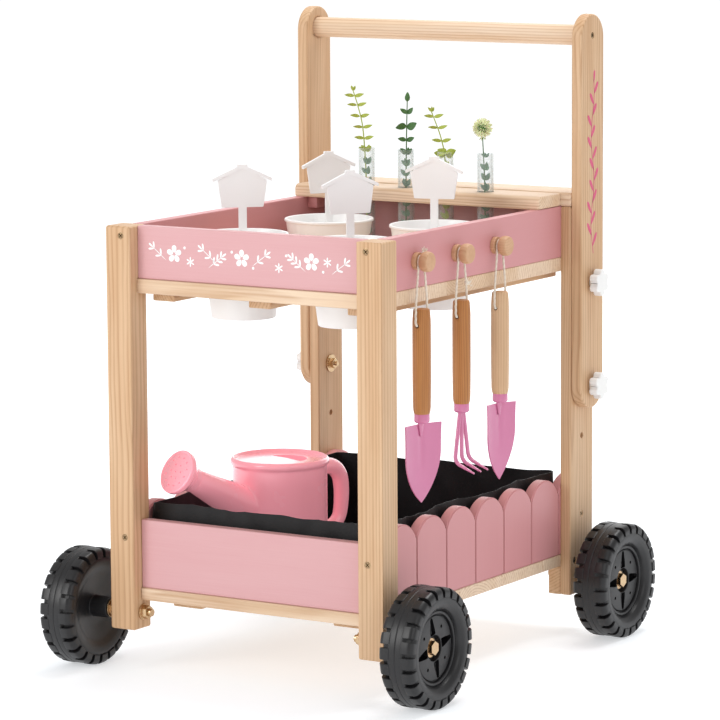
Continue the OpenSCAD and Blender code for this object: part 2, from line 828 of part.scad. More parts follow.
// A stalk that stands in its tube and leans above it, with round leaves in pairs
module sprig(i, height, lean, leaves, head_r) {
    color(leaf) translate([tube_xs[i], tube_y, 0]) {
        translate([0, 0, stalk_foot]) cylinder(h = stalk_bend - stalk_foot, r = stalk_r, $fn = 16);
        translate([0, 0, stalk_bend]) rotate([0, lean, 0]) {
            sphere(r = bend_r, $fn = 16);
            cylinder(h = height, r = stalk_r, $fn = 16);
            for (k = [1:leaves]) for (s = [0, 180])
                rotate(s + k * leaf_turn) translate([leaf_r + 0.2, 0, k * height / (leaves + 0.4)])
                    rotate([90, 0, 0]) translate([0, 0, -leaf_t / 2])
                        cylinder(h = leaf_t, r = leaf_r, $fn = 24);
            if (head_r > 0) translate([0, 0, height]) sphere(r = head_r);
        }
    }
}

module sprig_1() { sprig(0, 66, -16, 5, 0); }
module sprig_2() { sprig(1, 60, 0, 4, 2.5); }
module sprig_3() { sprig(2, 50, -22, 4, 0); }
module sprig_4() { sprig(3, 30, -9, 0, 11.5); }

// ---- fabric liner of the lower tray ----
liner_gap = 0.5;
liner_t = 1.5;
liner_top = picket_top + 4;

module tray_liner() {
    x = side_in - liner_gap;
    y0 = post_back + liner_gap;
    y1 = rear_panel_front - liner_gap;
    color([0.06, 0.06, 0.07]) difference() {
        block([-x, y0, slat_top + rest_gap], [x, y1, liner_top]);
        block([-x + liner_t, y0 + liner_t, slat_top + rest_gap + liner_t],
            [x - liner_t, y1 - liner_t, liner_top + cut]);
    }
}

// ---- watering can ----
can_left_gap = 20;
can_x = -side_in + can_left_gap + can_d / 2;
can_y = post_back + 150;
can_turn = 252;
can_foot = slat_top + 2 * rest_gap + liner_t;
can_r = can_d / 2;
can_lip_r = can_r + 2.5;
can_lip_h = 7;
spout_axis_z = can_foot + can_h - spout_reach * tan(spout_rise);
spout_root_r = 17;
spout_tip_r = 12;
rose_len = 26;
spout_len = spout_reach / cos(spout_rise) - rose_len;
can_grip_out = can_r + 43;
can_grip_top = can_foot + can_h - 17;
can_grip_low = can_grip_top - 68;
can_bend_r = 18;

// Places the children in the can's own axes: spout along +X, can axis along Z
module at_can() {
    translate([can_x, can_y, 0]) rotate([0, 0, can_turn]) children();
}

// Points +Z of the children along the spout, from the can's axis
module along_spout() {
    translate([0, 0, spout_axis_z]) rotate([0, 90 - spout_rise, 0]) children();
}

// The closed loop of the handle behind the can, in the XZ plane
module can_grip() {
    r = can_grip_d / 2;
    x = -(can_grip_out - r);
    for (z = [can_grip_top, can_grip_low])
        rod_x(x + can_bend_r, -can_r + can_wall / 2, 0, z, r);
    translate([x, 0, can_grip_low + can_bend_r])
        cylinder(h = can_grip_top - can_grip_low - 2 * can_bend_r, r = r);
    for (end = [[can_grip_top - can_bend_r, 90], [can_grip_low + can_bend_r, 180]])
        translate([x + can_bend_r, 0, end[0]]) rotate([90, 0, 0]) rotate([0, 0, end[1]])
            rotate_extrude(angle = 90) translate([can_bend_r, 0]) circle(r = r);
}

mouth_r = 23;
mouth_edge = 8;

module watering_can() {
    color(can_pink) at_can() difference() {
        union() {
            translate([0, 0, can_foot]) cylinder(h = can_h, r = can_r, $fn = 96);
            translate([0, 0, can_foot + can_h - can_lip_h])
                cylinder(h = can_lip_h, r = can_lip_r, $fn = 96);
            along_spout() cylinder(h = spout_len, r1 = spout_root_r + 4, r2 = spout_tip_r);
            can_grip();
        }
        translate([0, 0, can_foot + can_wall])
            cylinder(h = can_h - 2 * can_wall - 2, r = can_r - can_wall, $fn = 96);
        along_spout() cylinder(h = spout_len + cut, r1 = spout_root_r + 4 - can_wall,
            r2 = spout_tip_r - can_wall);
        intersection() {
            translate([-mouth_edge, 0, can_foot + can_h / 2]) cylinder(h = can_h, r = mouth_r);
            block([-mouth_edge - 2 * mouth_r, -2 * mouth_r, can_foot + can_h / 2],
                [-mouth_edge, 2 * mouth_r, can_foot + 2 * can_h]);
        }
    }
}

rose_r = rose_d / 2;
rose_hole_r = 1;

// The rose is a hollow cone with a pierced face that plugs onto the end of the spout
module can_rose() {
    color(can_pink) at_can() along_spout() translate([0, 0, spout_len + rest_gap]) difference() {
        rotate_extrude($fn = 64) polygon([[spout_tip_r - can_wall, 0], [spout_tip_r + 1.5, 0],
            [spout_tip_r + 1.5, 6], [rose_r, rose_len - 7], [rose_r, rose_len - 2],
            [rose_r - 2, rose_len - 1], [0, rose_len], [0, rose_len - can_wall],
            [rose_r - 3, rose_len - 3], [rose_r - 2, rose_len - 8], [spout_tip_r - 0.5, 6.5],
            [spout_tip_r - can_wall, 6]]);
        for (ring = [[0, 1], [8, 6], [16, 12]], i = [0:ring[1] - 1])
            rotate(i * 360 / ring[1]) translate([ring[0], 0, rose_len - 6])
                cylinder(h = 10, r = rose_hole_r, $fn = 16);
    }
}

// ---- hanging tools ----
grip_r = grip_d / 2;
grip_neck_r = 7.5;
cord_hole_d = 4.4;
cord_hole_drop = 17;
ferrule_len = 9;
ferrule_r = 6;
tang_len = 14;
tang_r = 2.5;
grip_top = peg_z - grip_drop;
grip_low = grip_top - grip_len;
cord_hole_z = grip_top - cord_hole_drop;
blade_turn = -14;
blade_full = 0.65;

// Turned grip with a shoulder at each end and the cord hole through it along Y
module grip(k, wood) {
    color(wood) translate([cord_x, peg_ys[k], grip_low]) difference() {
        rotate_extrude() polygon([[0, 0], [grip_neck_r, 0], [grip_r - 0.5, 5], [grip_r, 20],
            [grip_r, grip_len - 4], [grip_r - 2.5, grip_len], [0, grip_len]]);
        translate([0, grip_r + cut, cord_hole_z - grip_low]) rotate([90, 0, 0])
            cylinder(h = grip_d + 2 * cut, d = cord_hole_d, $fn = 24);
        translate([0, 0, -cut]) cylinder(h = tang_len + cut + 0.5, r = tang_r + screw_fit);
    }
}

module wide_trowel_grip() { grip(0, oak); }
module rake_grip() { grip(1, oak); }
module narrow_trowel_grip() { grip(2, pine); }

// Tang in the grip and ferrule under it
module ferrule() {
    cylinder(h = tang_len, r = tang_r);
    translate([0, 0, -ferrule_len]) cylinder(h = ferrule_len, r1 = ferrule_r - 1, r2 = ferrule_r);
}

// Pointed blade with straight sides above its widest place and arcs below it
module trowel(k, w) {
    wide_z = blade_len * blade_full;
    arc_r = (pow(w / 2, 2) + pow(wide_z, 2)) / w;
    color(hot_pink) translate([cord_x, peg_ys[k], grip_low]) rotate([0, 0, blade_turn]) {
        ferrule();
        translate([-sheet_t / 2, 0, -ferrule_len - blade_len]) rotate([90, 0, 90])
            linear_extrude(sheet_t) union() {
                intersection() {
                    translate([-w / 2 + arc_r, wide_z]) circle(r = arc_r, $fn = 96);
                    translate([w / 2 - arc_r, wide_z]) circle(r = arc_r, $fn = 96);
                    translate([-w / 2, 0]) square([w, wide_z + 1]);
                }
                translate([-w / 2, wide_z]) square([w, blade_len - wide_z + 0.5]);
            }
    }
}

module wide_trowel_blade() { trowel(0, wide_blade_w); }
module narrow_trowel_blade() { trowel(2, narrow_blade_w); }

tine_r = 1.8;
tine_drop = 50;
tine_reach = 23;
tine_dip = 10;
tine_root = 3;
tine_step = 14;

// Three tines that fan out from the ferrule and bend outwards at the bottom
module rake_tines() {
    color(hot_pink) translate([cord_x, peg_ys[1], grip_low]) {
        ferrule();
        for (k = [-1:1]) {
            fan = [k * (tine_step - tine_root), -tine_drop];
            translate([0, k * tine_root, -ferrule_len + 1]) rotate([atan2(fan[0], -fan[1]), 0, 0])
                translate([0, 0, -norm(fan)]) cylinder(h = norm(fan), r = tine_r, $fn = 24);
            translate([0, k * tine_step, -ferrule_len + 1 - tine_drop]) {
                sphere(r = tine_r + 0.2, $fn = 24);
                rotate([0, 90 + atan(tine_dip / tine_reach), 0])
                    cylinder(h = norm([tine_reach, tine_dip]), r1 = tine_r, r2 = 1, $fn = 24);
            }
        }
    }
}

// ---- hanging cords: over the peg neck, down both sides and through the grip ----
loop_r = peg_neck_d / 2 + cord_d / 2 + 0.1;
cord_out_y = grip_r + cord_d / 2 + 2 * rest_gap;
cord_low = 2;

// A straight piece of cord between two points of the YZ plane
module cord_run(from, to) {
    d = to - from;
    translate([cord_x, from[0], from[1]]) rotate([-atan2(d[0], d[1]), 0, 0])
        cylinder(h = norm(d), d = cord_d, $fn = 16);
    for (p = [from, to]) translate([cord_x, p[0], p[1]]) sphere(d = cord_d + 0.2, $fn = 16);
}

module hanging_cord(k) {
    y = peg_ys[k];
    color(plain_white) {
        translate([cord_x, y, peg_z]) rotate([90, 0, 90])
            rotate_extrude(angle = 180) translate([loop_r, 0]) circle(d = cord_d, $fn = 16);
        for (s = [-1, 1]) {
            cord_run([y + s * loop_r, peg_z], [y + s * cord_out_y, grip_top - cord_low]);
            cord_run([y + s * cord_out_y, grip_top - cord_low], [y + s * cord_out_y, cord_hole_z]);
        }
        cord_run([y - cord_out_y, cord_hole_z], [y + cord_out_y, cord_hole_z]);
    }
}

module wide_trowel_cord() { hanging_cord(0); }
module rake_cord() { hanging_cord(1); }
module narrow_trowel_cord() { hanging_cord(2); }

front_left_post();
front_right_post();
rear_left_leg();
rear_right_leg();
upper_front_panel();
upper_rear_panel();
upper_left_panel();
upper_right_panel();
upper_shelf();
battens_and_blocks();
rack_cleats();
lower_front_panel();
lower_rear_panel();
left_picket_panel();
right_picket_panel();
lower_shelf_slats();
tube_rack_board();
rear_top_board();
tool_pegs();
wood_screws();
bolts_nuts_washers();
left_upright();
right_upright();
handle_bar();
left_upper_knob();
left_lower_knob();
right_upper_knob();
right_lower_knob();
front_left_wheel();
front_right_wheel();
rear_left_wheel();
rear_right_wheel();
front_left_pot();
front_right_pot();
rear_left_pot();
rear_right_pot();
front_left_label();
front_right_label();
rear_left_label();
rear_right_label();
test_tube_1();
test_tube_2();
test_tube_3();
test_tube_4();
sprig_1();
sprig_2();
sprig_3();
sprig_4();
tray_liner();
watering_can();
can_rose();
wide_trowel_grip();
rake_grip();
narrow_trowel_grip();
wide_trowel_blade();
rake_tines();
narrow_trowel_blade();
wide_trowel_cord();
rake_cord();
narrow_trowel_cord();
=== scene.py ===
# %% [markdown]
# # A push-along gardening cart
# This script dresses a finished construction model of a wooden toy cart: two trays, four
# wheels, a push handle, pots, test-tube vases, hanging tools and a watering can. The
# construction model fixes every size. Here each piece gets its rounded edges and its finish.

import json
import math
import random

import bmesh
import bpy
import numpy as np
from mathutils import Matrix, Vector, noise

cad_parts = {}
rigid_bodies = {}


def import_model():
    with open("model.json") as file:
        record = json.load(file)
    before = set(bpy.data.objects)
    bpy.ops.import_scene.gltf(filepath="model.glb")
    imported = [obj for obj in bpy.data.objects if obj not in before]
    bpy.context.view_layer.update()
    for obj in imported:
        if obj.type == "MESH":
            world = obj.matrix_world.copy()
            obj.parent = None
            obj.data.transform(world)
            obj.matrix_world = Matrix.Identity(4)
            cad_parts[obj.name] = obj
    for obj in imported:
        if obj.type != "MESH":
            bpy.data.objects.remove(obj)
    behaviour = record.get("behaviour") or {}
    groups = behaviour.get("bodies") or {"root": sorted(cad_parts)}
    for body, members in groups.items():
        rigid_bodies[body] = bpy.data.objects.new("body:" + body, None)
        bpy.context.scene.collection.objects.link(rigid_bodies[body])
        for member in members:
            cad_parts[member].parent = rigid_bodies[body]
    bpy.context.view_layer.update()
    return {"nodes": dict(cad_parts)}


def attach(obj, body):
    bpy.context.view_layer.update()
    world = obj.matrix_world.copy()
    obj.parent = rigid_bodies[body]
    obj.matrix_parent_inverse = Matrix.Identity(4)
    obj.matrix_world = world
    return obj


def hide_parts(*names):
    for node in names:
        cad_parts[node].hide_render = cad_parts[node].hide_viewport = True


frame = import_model()
nodes = frame["nodes"]
mm = 0.001

# %% [markdown]
# ## Camera
# The cart is looked at from its front right corner, a little above level, through a long
# lens, so its edges stay nearly parallel. The camera is placed from angles and a distance.

# %% Camera
AZIMUTH, ELEVATION, ROLL = (math.radians(a) for a in (31.96, 8.175, -0.351))
TARGET = Vector((-0.0233, 0.0419, 0.3094))
DISTANCE = 4.299
LENS, SENSOR, SHIFT_X, SHIFT_Y = 200.4, 36, 0.0061, -0.005


def view_axes(azimuth, elevation, roll):
    """Right, up and forward of a camera that looks along +Y at azimuth 0."""
    forward = Vector((-math.sin(azimuth) * math.cos(elevation),
                      math.cos(azimuth) * math.cos(elevation), -math.sin(elevation)))
    level = Vector((math.cos(azimuth), math.sin(azimuth), 0))
    above = level.cross(forward)
    right = level * math.cos(roll) + above * math.sin(roll)
    up = above * math.cos(roll) - level * math.sin(roll)
    return right, up, forward


right, up, forward = view_axes(AZIMUTH, ELEVATION, ROLL)
camera_data = bpy.data.cameras.new("camera")
camera_data.lens = LENS
camera_data.sensor_width = SENSOR
camera_data.shift_x, camera_data.shift_y = SHIFT_X, SHIFT_Y
camera = bpy.data.objects.new("camera", camera_data)
bpy.context.scene.collection.objects.link(camera)
camera.matrix_world = (Matrix.Translation(TARGET - forward * DISTANCE)
                       @ Matrix((right, up, -forward)).transposed().to_4x4())
bpy.context.scene.camera = camera
print("camera at", [round(v, 3) for v in camera.matrix_world.translation])

# %% [markdown]
# ## Light and floor
# A bright studio: a white surround gives even light, the key lamp at the front left makes the
# front faces a little brighter than the right side, and three more lamps fill the right side,
# the back and the top. The floor is nearly white.

# %% Light and floor
bpy.context.scene.view_settings.view_transform = "Standard"
SURROUND, BACKDROP = 0.60, 1.05  # strength of the light on the cart, and of the white behind it
LAMPS = {  # place and aim in metres, width in metres, watts, colour
    "key_lamp": ((-1.5, -2.9, 1.5), (0, 0, 0.3), 1.6, 42, (1, 0.995, 0.985)),
    "side_lamp": ((2.6, -1.2, 1.4), (0, 0, 0.3), 1.4, 9, (1, 1, 1)),
    "back_lamp": ((-0.9, 2.9, 1.1), (0, 0, 0.4), 2.4, 22, (1, 1, 1)),
    "top_lamp": ((0.2, 0.8, 2.6), (0, 0, 0.3), 1.2, 36, (1, 1, 1)),
}
world = bpy.data.worlds.new("studio")
bpy.context.scene.world = world
world.use_nodes = True
world_tree = world.node_tree
background = world_tree.nodes["Background"]
background.inputs["Color"].default_value = (1, 1, 1, 1)
rays = world_tree.nodes.new("ShaderNodeLightPath")
seen = world_tree.nodes.new("ShaderNodeMapRange")
world_tree.links.new(rays.outputs["Is Camera Ray"], seen.inputs["Value"])
seen.inputs["To Min"].default_value = SURROUND
seen.inputs["To Max"].default_value = BACKDROP
world_tree.links.new(seen.outputs["Result"], background.inputs["Strength"])


def soft_lamp(name, place, aim, size, watts, colour):
    """A square area lamp at a place, turned towards a point."""
    data = bpy.data.lights.new(name, "AREA")
    data.size, data.energy, data.color = size, watts, colour
    lamp = bpy.data.objects.new(name, data)
    bpy.context.scene.collection.objects.link(lamp)
    turn = (Vector(aim) - Vector(place)).to_track_quat("-Z", "Y")
    lamp.matrix_world = Matrix.Translation(place) @ turn.to_matrix().to_4x4()


for name, settings in LAMPS.items():
    soft_lamp(name, *settings)


def plain_mesh(name, vertices, faces):
    """A new object from lists of points and faces."""
    mesh = bpy.data.meshes.new(name)
    mesh.from_pydata([tuple(v) for v in vertices], [], [tuple(f) for f in faces])
    piece = bpy.data.objects.new(name, mesh)
    bpy.context.scene.collection.objects.link(piece)
    return piece


FLOOR_HALF = 6.0
floor = plain_mesh("floor", [(x * FLOOR_HALF, y * FLOOR_HALF, 0)
                             for x, y in ((-1, -1), (1, -1), (1, 1), (-1, 1))], [(0, 1, 2, 3)])
print("lamps", len(LAMPS), "and a floor", 2 * FLOOR_HALF, "m wide")

# %% [markdown]
# ## Shader sums written as Python
# A `Wire` is one output of a node. Adding or multiplying wires adds Math nodes, so a pattern
# reads like a formula. `Finish.node` makes any other node: type, settings, then sockets.


# %% Shader sums written as Python
class Wire:
    """One output socket of a finish; arithmetic on it adds Math nodes."""

    def __init__(self, finish, socket):
        self.finish, self.socket = finish, socket

    def _sum(self, operation, *values):
        return self.finish.node("ShaderNodeMath", {"operation": operation}, dict(enumerate(values)))

    def __add__(self, other): return self._sum("ADD", self, other)
    def __radd__(self, other): return self._sum("ADD", other, self)
    def __sub__(self, other): return self._sum("SUBTRACT", self, other)
    def __rsub__(self, other): return self._sum("SUBTRACT", other, self)
    def __mul__(self, other): return self._sum("MULTIPLY", self, other)
    def __rmul__(self, other): return self._sum("MULTIPLY", other, self)
    def __truediv__(self, other): return self._sum("DIVIDE", self, other)
    def __pow__(self, other): return self._sum("POWER", self, other)
    def fraction(self): return self._sum("FRACT", self)
    def whole(self): return self._sum("FLOOR", self)
    def size(self): return self._sum("ABSOLUTE", self)
    def below(self, limit): return self._sum("LESS_THAN", self, limit)
    def above(self, limit): return self._sum("GREATER_THAN", self, limit)


class Graph:
    """A node tree under construction; node() adds one node to it."""

    def feed(self, socket, value):
        """Links a wire to a socket, or sets a plain value on it."""
        if isinstance(value, Wire):
            self.tree.links.new(value.socket, socket)
        else:
            socket.default_value = value

    def node(self, kind, settings=None, sockets=None, out=0):
        """Adds a node: its settings first, then its sockets; gives one output."""
        made = self.tree.nodes.new(kind)
        for key, value in (settings or {}).items():
            if key == "stops":
                ramp = made.color_ramp
                while len(ramp.elements) < len(value):
                    ramp.elements.new(0.5)
                for element, (place, colour) in zip(ramp.elements, value):
                    element.position, element.color = place, (*colour, 1)
            else:
                setattr(made, key, value)
        for key, value in (sockets or {}).items():
            self.feed(made.inputs[key], value)
        return Wire(self, made.outputs[out])


class Finish(Graph):
    """A node material under construction."""

    def __init__(self, name):
        self.material = bpy.data.materials.new(name)
        self.material.use_nodes = True
        self.tree = self.material.node_tree
        self.tree.nodes.clear()
        self.shader = self.tree.nodes.new("ShaderNodeBsdfPrincipled")
        output = self.tree.nodes.new("ShaderNodeOutputMaterial")
        self.tree.links.new(self.shader.outputs[0], output.inputs[0])

    def place(self):
        """X, Y and Z in millimetres, in the cart's own axes."""
        here = self.node("ShaderNodeTexCoord", out="Object")
        return [self.node("ShaderNodeSeparateXYZ", None, {0: here}, out=i) * 1000 for i in range(3)]

    def point(self, x, y, z):
        return self.node("ShaderNodeCombineXYZ", None, {0: x, 1: y, 2: z})

    def cloud(self, vector, scale=1.0, detail=2.0, rough=0.5, twist=0.0):
        """Noise from 0 to 1."""
        return self.node("ShaderNodeTexNoise", None, {"Vector": vector, "Scale": scale,
                         "Detail": detail, "Roughness": rough, "Distortion": twist})

    def streaks(self, along, across, stretch, width, detail=2, rough=0.5):
        """Noise drawn out along the grain."""
        spot = self.point(along * stretch, across[0] * width, across[1] * width)
        return self.cloud(spot, 1.0, detail, rough)

    def blend(self, factor, first, second):
        """A colour between two colours."""
        return self.node("ShaderNodeMix", {"data_type": "RGBA"},
                         {0: factor, 6: first, 7: second}, out=2)

    def ramp(self, factor, stops):
        return self.node("ShaderNodeValToRGB", {"stops": stops}, {0: factor})

    def soft_step(self, value, low, high):
        """0 below low, 1 above high."""
        return self.node("ShaderNodeMapRange", {"interpolation_type": "SMOOTHSTEP"},
                         {0: value, 1: low, 2: high})

    def bump(self, height, depth, strength=1.0):
        """Raises the surface by up to depth metres where height is 1."""
        self.feed(self.shader.inputs["Normal"],
                  self.node("ShaderNodeBump", None, {"Height": height, "Distance": depth,
                            "Strength": strength}))

    def set(self, **sockets):
        """Sets sockets of the main shader; underscores stand for spaces."""
        for key, value in sockets.items():
            self.feed(self.shader.inputs[key.replace("_", " ")], value)
        return self


def rgb(red, green, blue):
    """A colour from screen values 0-255 to the linear values that a shader wants."""
    def linear(value):
        return value / 12.92 if value <= 0.04045 else ((value + 0.055) / 1.055) ** 2.4

    return tuple(linear(v / 255) for v in (red, green, blue)) + (1,)


# %% [markdown]
# ## Floor finish
# A matt white floor. It only has to catch the soft shadows of the wheels, so it glows, and
# more with distance, as a lit studio sweep does.

# %% Floor finish
SWEEP_START, SWEEP_END = 300, 1500  # distances in mm over which the glow grows
NEAR_GLOW, FAR_GLOW = (0.50, 0.51, 0.52, 1), (0.68, 0.68, 0.68, 1)
floor_finish = Finish("floor_white")
east, north, _ = floor_finish.place()
away = floor_finish.soft_step((east * east + north * north) ** 0.5, SWEEP_START, SWEEP_END)
floor_finish.set(Base_Color=(0.62, 0.64, 0.66, 1), Roughness=0.75, Specular_IOR_Level=0.2,
                 Emission_Strength=1.0,
                 Emission_Color=floor_finish.blend(away, NEAR_GLOW, FAR_GLOW))
floor.data.materials.append(floor_finish.material)
print("floor finish", floor_finish.material.name)

# %% [markdown]
# ## Pine
# Sawn softwood shows growth rings. The ring pattern is a solid one: rings about a pith line
# beside the board, so faces, edges and end grain agree. Noise stretched along the grain adds
# fibres. Each board gets its own pith so that no two boards match.

# %% Pine
PINE_LIGHT = rgb(218, 184, 148)
PINE_MID = rgb(207, 168, 129)
PINE_DARK = rgb(164, 114, 72)
PINE = (PINE_LIGHT, PINE_MID, PINE_DARK)


def wood(name, grain, pith, ring=3.4, colours=PINE, plank=None, contrast=1.0, rough=0.5):
    """Softwood with its grain along axis 0, 1 or 2. pith is the ring centre across the grain.

    plank = (axis, start, width) gives each plank across that axis its own pith and tone."""
    f = Finish(name)
    place = f.place()
    along = place[grain]
    across = [place[i] for i in range(3) if i != grain]
    tone = 0.0
    if plank:
        axis, start, width = plank
        number = ((place[axis] - start) / width).whole()
        luck = f.node("ShaderNodeTexWhiteNoise", {"noise_dimensions": "1D"}, {"W": number})
        tone = (luck - 0.5) * 0.5
        across = [across[0] + luck * 37, across[1] - luck * 61]
        along = along + number * 173
    wander = f.streaks(along, across, 0.0028, 0.012, 3) * 12
    a, b = across[0] - pith[0] + wander, across[1] - pith[1] - wander * 0.6
    distance = (a * a + b * b) ** 0.5
    ring_at = (distance / ring + f.cloud(f.point(distance * 0.02, 0, 0), 1.0, 2) * 6).fraction()
    late = f.soft_step(ring_at, 0.35, 0.86) * (1 - f.soft_step(ring_at, 0.88, 1.0))
    fibre = f.streaks(along, across, 0.035, 1.9, 3, 0.6)
    patch = f.streaks(along, across, 0.006, 0.05, 3)
    streak = f.streaks(along, across, 0.004, 0.3)
    light = f.blend(f.soft_step(patch + tone, 0.25, 0.75), colours[0], colours[1])
    amount = (late * (0.15 + 0.45 * streak) + (streak - 0.45) * 0.5 + (fibre - 0.5) * 0.4) * contrast
    f.set(Base_Color=f.blend(amount, light, colours[2]),
          Roughness=rough + (fibre - 0.5) * 0.15 - late * 0.06, Specular_IOR_Level=0.35)
    f.bump(fibre * 0.6 + late * 0.3, 0.00012, 0.6)
    return f.material


# %% [markdown]
# ## Painted wood
# The pink panels are brushed with satin paint. Very shallow grain lines still show through,
# so the paint gets a faint bump and a slight change of tone along each board.

# %% Painted wood
# A paler copy of the pink: painted sheen for the front and rear panels.
PAINT_PALE_SHEEN = rgb(217, 170, 172)
PAINT_PINK = rgb(209, 146, 148)
PAINT_DEEP = rgb(202, 137, 139)
# Bare wood, darker than bare pine: painted shade in the grooves between the pickets.
BARE_WOOD_AND_GROOVE_SHADE = rgb(128, 62, 44)


def painted_wood(name, grain, grooves=None, colour=None):
    """Satin pink paint; grooves = (start, width, half groove) colours grooves along Y as bare wood with
    painted shade.
    """
    f = Finish(name)
    place = f.place()
    along = place[grain]
    across = [place[i] for i in range(3) if i != grain]
    fibre = f.streaks(along, across, 0.012, 0.9, 4, 0.6)
    patch = f.streaks(along, across, 0.004, 0.03)
    paint = f.blend(patch * 0.4 + (fibre - 0.5) * 0.5, colour or PAINT_PINK, PAINT_DEEP)
    if grooves:
        start, width, half = grooves
        nearest = (((place[1] - start) / width + 0.5).fraction() - 0.5).size() * width
        # The groove mask paints bare wood darkened by the shade in the groove.
        bare = 1 - f.soft_step(nearest, half * 0.75, half)
        paint = f.blend(bare, paint, BARE_WOOD_AND_GROOVE_SHADE)
    f.set(Base_Color=paint, Roughness=0.42 + (fibre - 0.5) * 0.12, Specular_IOR_Level=0.4)
    f.bump(fibre, 0.0001, 0.45)
    return f.material


# %% [markdown]
# ## Rounded boards
# Real boards have their edges eased by sanding. A copy of each construction node is merged,
# its long edges are marked, and a Bevel modifier rounds only those, so screw holes stay crisp.

# %% Rounded boards
HOLE_SIZE = 30 * mm
CREASE = 0.6  # radians between two faces that makes an edge a sharp one
MERGE = 2e-6  # metres within which two vertices are one


def settled(piece):
    """Applies the piece's modifiers and gives a plain mesh at the origin."""
    graph = bpy.context.evaluated_depsgraph_get()
    mesh = bpy.data.meshes.new_from_object(piece.evaluated_get(graph))
    piece.modifiers.clear()
    piece.data = mesh
    return piece


def outline_edges(bm, hole_size):
    """Sharp edges of a mesh, without the small loops that are holes."""
    sharp = [e for e in bm.edges if len(e.link_faces) == 2 and e.calc_face_angle() > CREASE]
    waiting, kept = set(sharp), []
    while waiting:
        group, queue = [], [waiting.pop()]
        while queue:
            edge = queue.pop()
            group.append(edge)
            for vertex in edge.verts:
                for other in vertex.link_edges:
                    if other in waiting:
                        waiting.discard(other)
                        queue.append(other)
        points = np.array([v.co for e in group for v in e.verts])
        if np.linalg.norm(points.max(0) - points.min(0)) > hole_size:
            kept += group
    return kept


def merged_copy(name, node):
    """A new object with the merged mesh of a construction node."""
    mesh = nodes[node].data.copy()
    mesh.materials.clear()
    bm = bmesh.new()
    bm.from_mesh(mesh)
    bmesh.ops.remove_doubles(bm, verts=bm.verts, dist=MERGE)
    bmesh.ops.dissolve_limit(bm, angle_limit=0.01, verts=bm.verts, edges=bm.edges)
    bm.to_mesh(mesh)
    bm.free()
    piece = bpy.data.objects.new(name, mesh)
    bpy.context.scene.collection.objects.link(piece)
    return piece


def smooth_by_angle(piece, degrees=40):
    """Smooth faces with creases kept where the surface turns sharply."""
    piece.data.shade_smooth()
    piece.data.set_sharp_from_angle(angle=math.radians(degrees))
    return piece


def rounded(node, radius, material, body="frame", steps=3, hole_size=HOLE_SIZE):
    """Replaces a construction node by a copy with rounded outer edges."""
    piece = merged_copy(node + "_rounded", node)
    bm = bmesh.new()
    bm.from_mesh(piece.data)
    layer = bm.edges.layers.float.new("bevel_weight_edge")
    for edge in outline_edges(bm, hole_size):
        edge[layer] = 1.0
    bm.to_mesh(piece.data)
    bm.free()
    bevel = piece.modifiers.new("ease", "BEVEL")
    bevel.limit_method, bevel.width, bevel.segments = "WEIGHT", radius, steps
    bevel.use_clamp_overlap = False
    settled(piece)
    smooth_by_angle(piece)
    weigh = piece.modifiers.new("flat_faces", "WEIGHTED_NORMAL")
    weigh.keep_sharp = True
    settled(piece)
    piece.data.materials.clear()
    piece.data.materials.append(material)
    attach(piece, body)
    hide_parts(node)
    return piece


# %% [markdown]
# ## Wooden boards
# Each post, leg and board is rounded and gets its own pith, so no two show the same rings. The
# boards that run across the cart get a paler pine, partly paler wood and partly painted light
# for their lit tops. Boards made of several planks get a plank width, and each plank its own tone.

# %% Wooden boards
X, Y, Z = 0, 1, 2
ROUND = 2.2 * mm
boards = [
    ("front_left_post", Z, (-210, -150)), ("front_right_post", Z, (118, -262)),
    ("rear_left_leg", Z, (-120, 260)), ("rear_right_leg", Z, (205, 172)),
    ("left_upright", Z, (-150, 150)), ("right_upright", Z, (140, 244)),
    ("handle_bar", X, (190, 610)), ("tube_rack_board", X, (118, 500)),
    ("rear_top_board", X, (240, 440)),
]
# A paler copy of the pine: partly paler wood, partly painted light for the lit tops of these boards.
PINE_PALE_AND_LIT = (rgb(233, 208, 182), rgb(222, 192, 160), rgb(176, 128, 86))
for node, grain, pith in boards:
    rounded(node, ROUND, wood("pine_" + node, grain, pith, colours=PINE_PALE_AND_LIT if grain == X else PINE))
shelf_pine = wood("pine_upper_shelf", X, (0, 380), plank=(Y, -214, 74), colours=PINE_PALE_AND_LIT)
slat_pine = wood("pine_slats", X, (0, 40), plank=(Y, 224, 88.4), colours=PINE_PALE_AND_LIT)
batten_pine = wood("pine_battens", Y, (-60, 420))
rounded("upper_shelf", 1.4 * mm, shelf_pine, hole_size=5 * mm)
rounded("lower_shelf_slats", 1.6 * mm, slat_pine)
rounded("battens_and_blocks", 1.5 * mm, batten_pine)
print("boards rounded:", len(boards) + 3)

# %% [markdown]
# ## Painted panels
# The panels of both trays and the cleats are pink. The front and rear panels get a paler copy
# of the paint, a painted sheen, with its brush marks along X, the others a deeper one along Y.

# %% Painted panels
PANEL_EASE = 1.2 * mm
paint_x = painted_wood("pink_paint_x", X, colour=PAINT_PALE_SHEEN)
paint_y = painted_wood("pink_paint_y", Y)
painted = {paint_x: ("upper_front_panel", "upper_rear_panel", "lower_front_panel",
                     "lower_rear_panel"),
           paint_y: ("upper_left_panel", "upper_right_panel", "rack_cleats")}
for paint, panels in painted.items():
    for node in panels:
        rounded(node, PANEL_EASE, paint)
print("panels painted:", sum(len(panels) for panels in painted.values()))

# %% [markdown]
# ## Recipes for repeated pieces
# Geometry Nodes copy one modelled piece many times. A `Recipe` builds such a tree with named
# inputs. `grow` runs it and keeps the result as a plain mesh, with no modifier left.


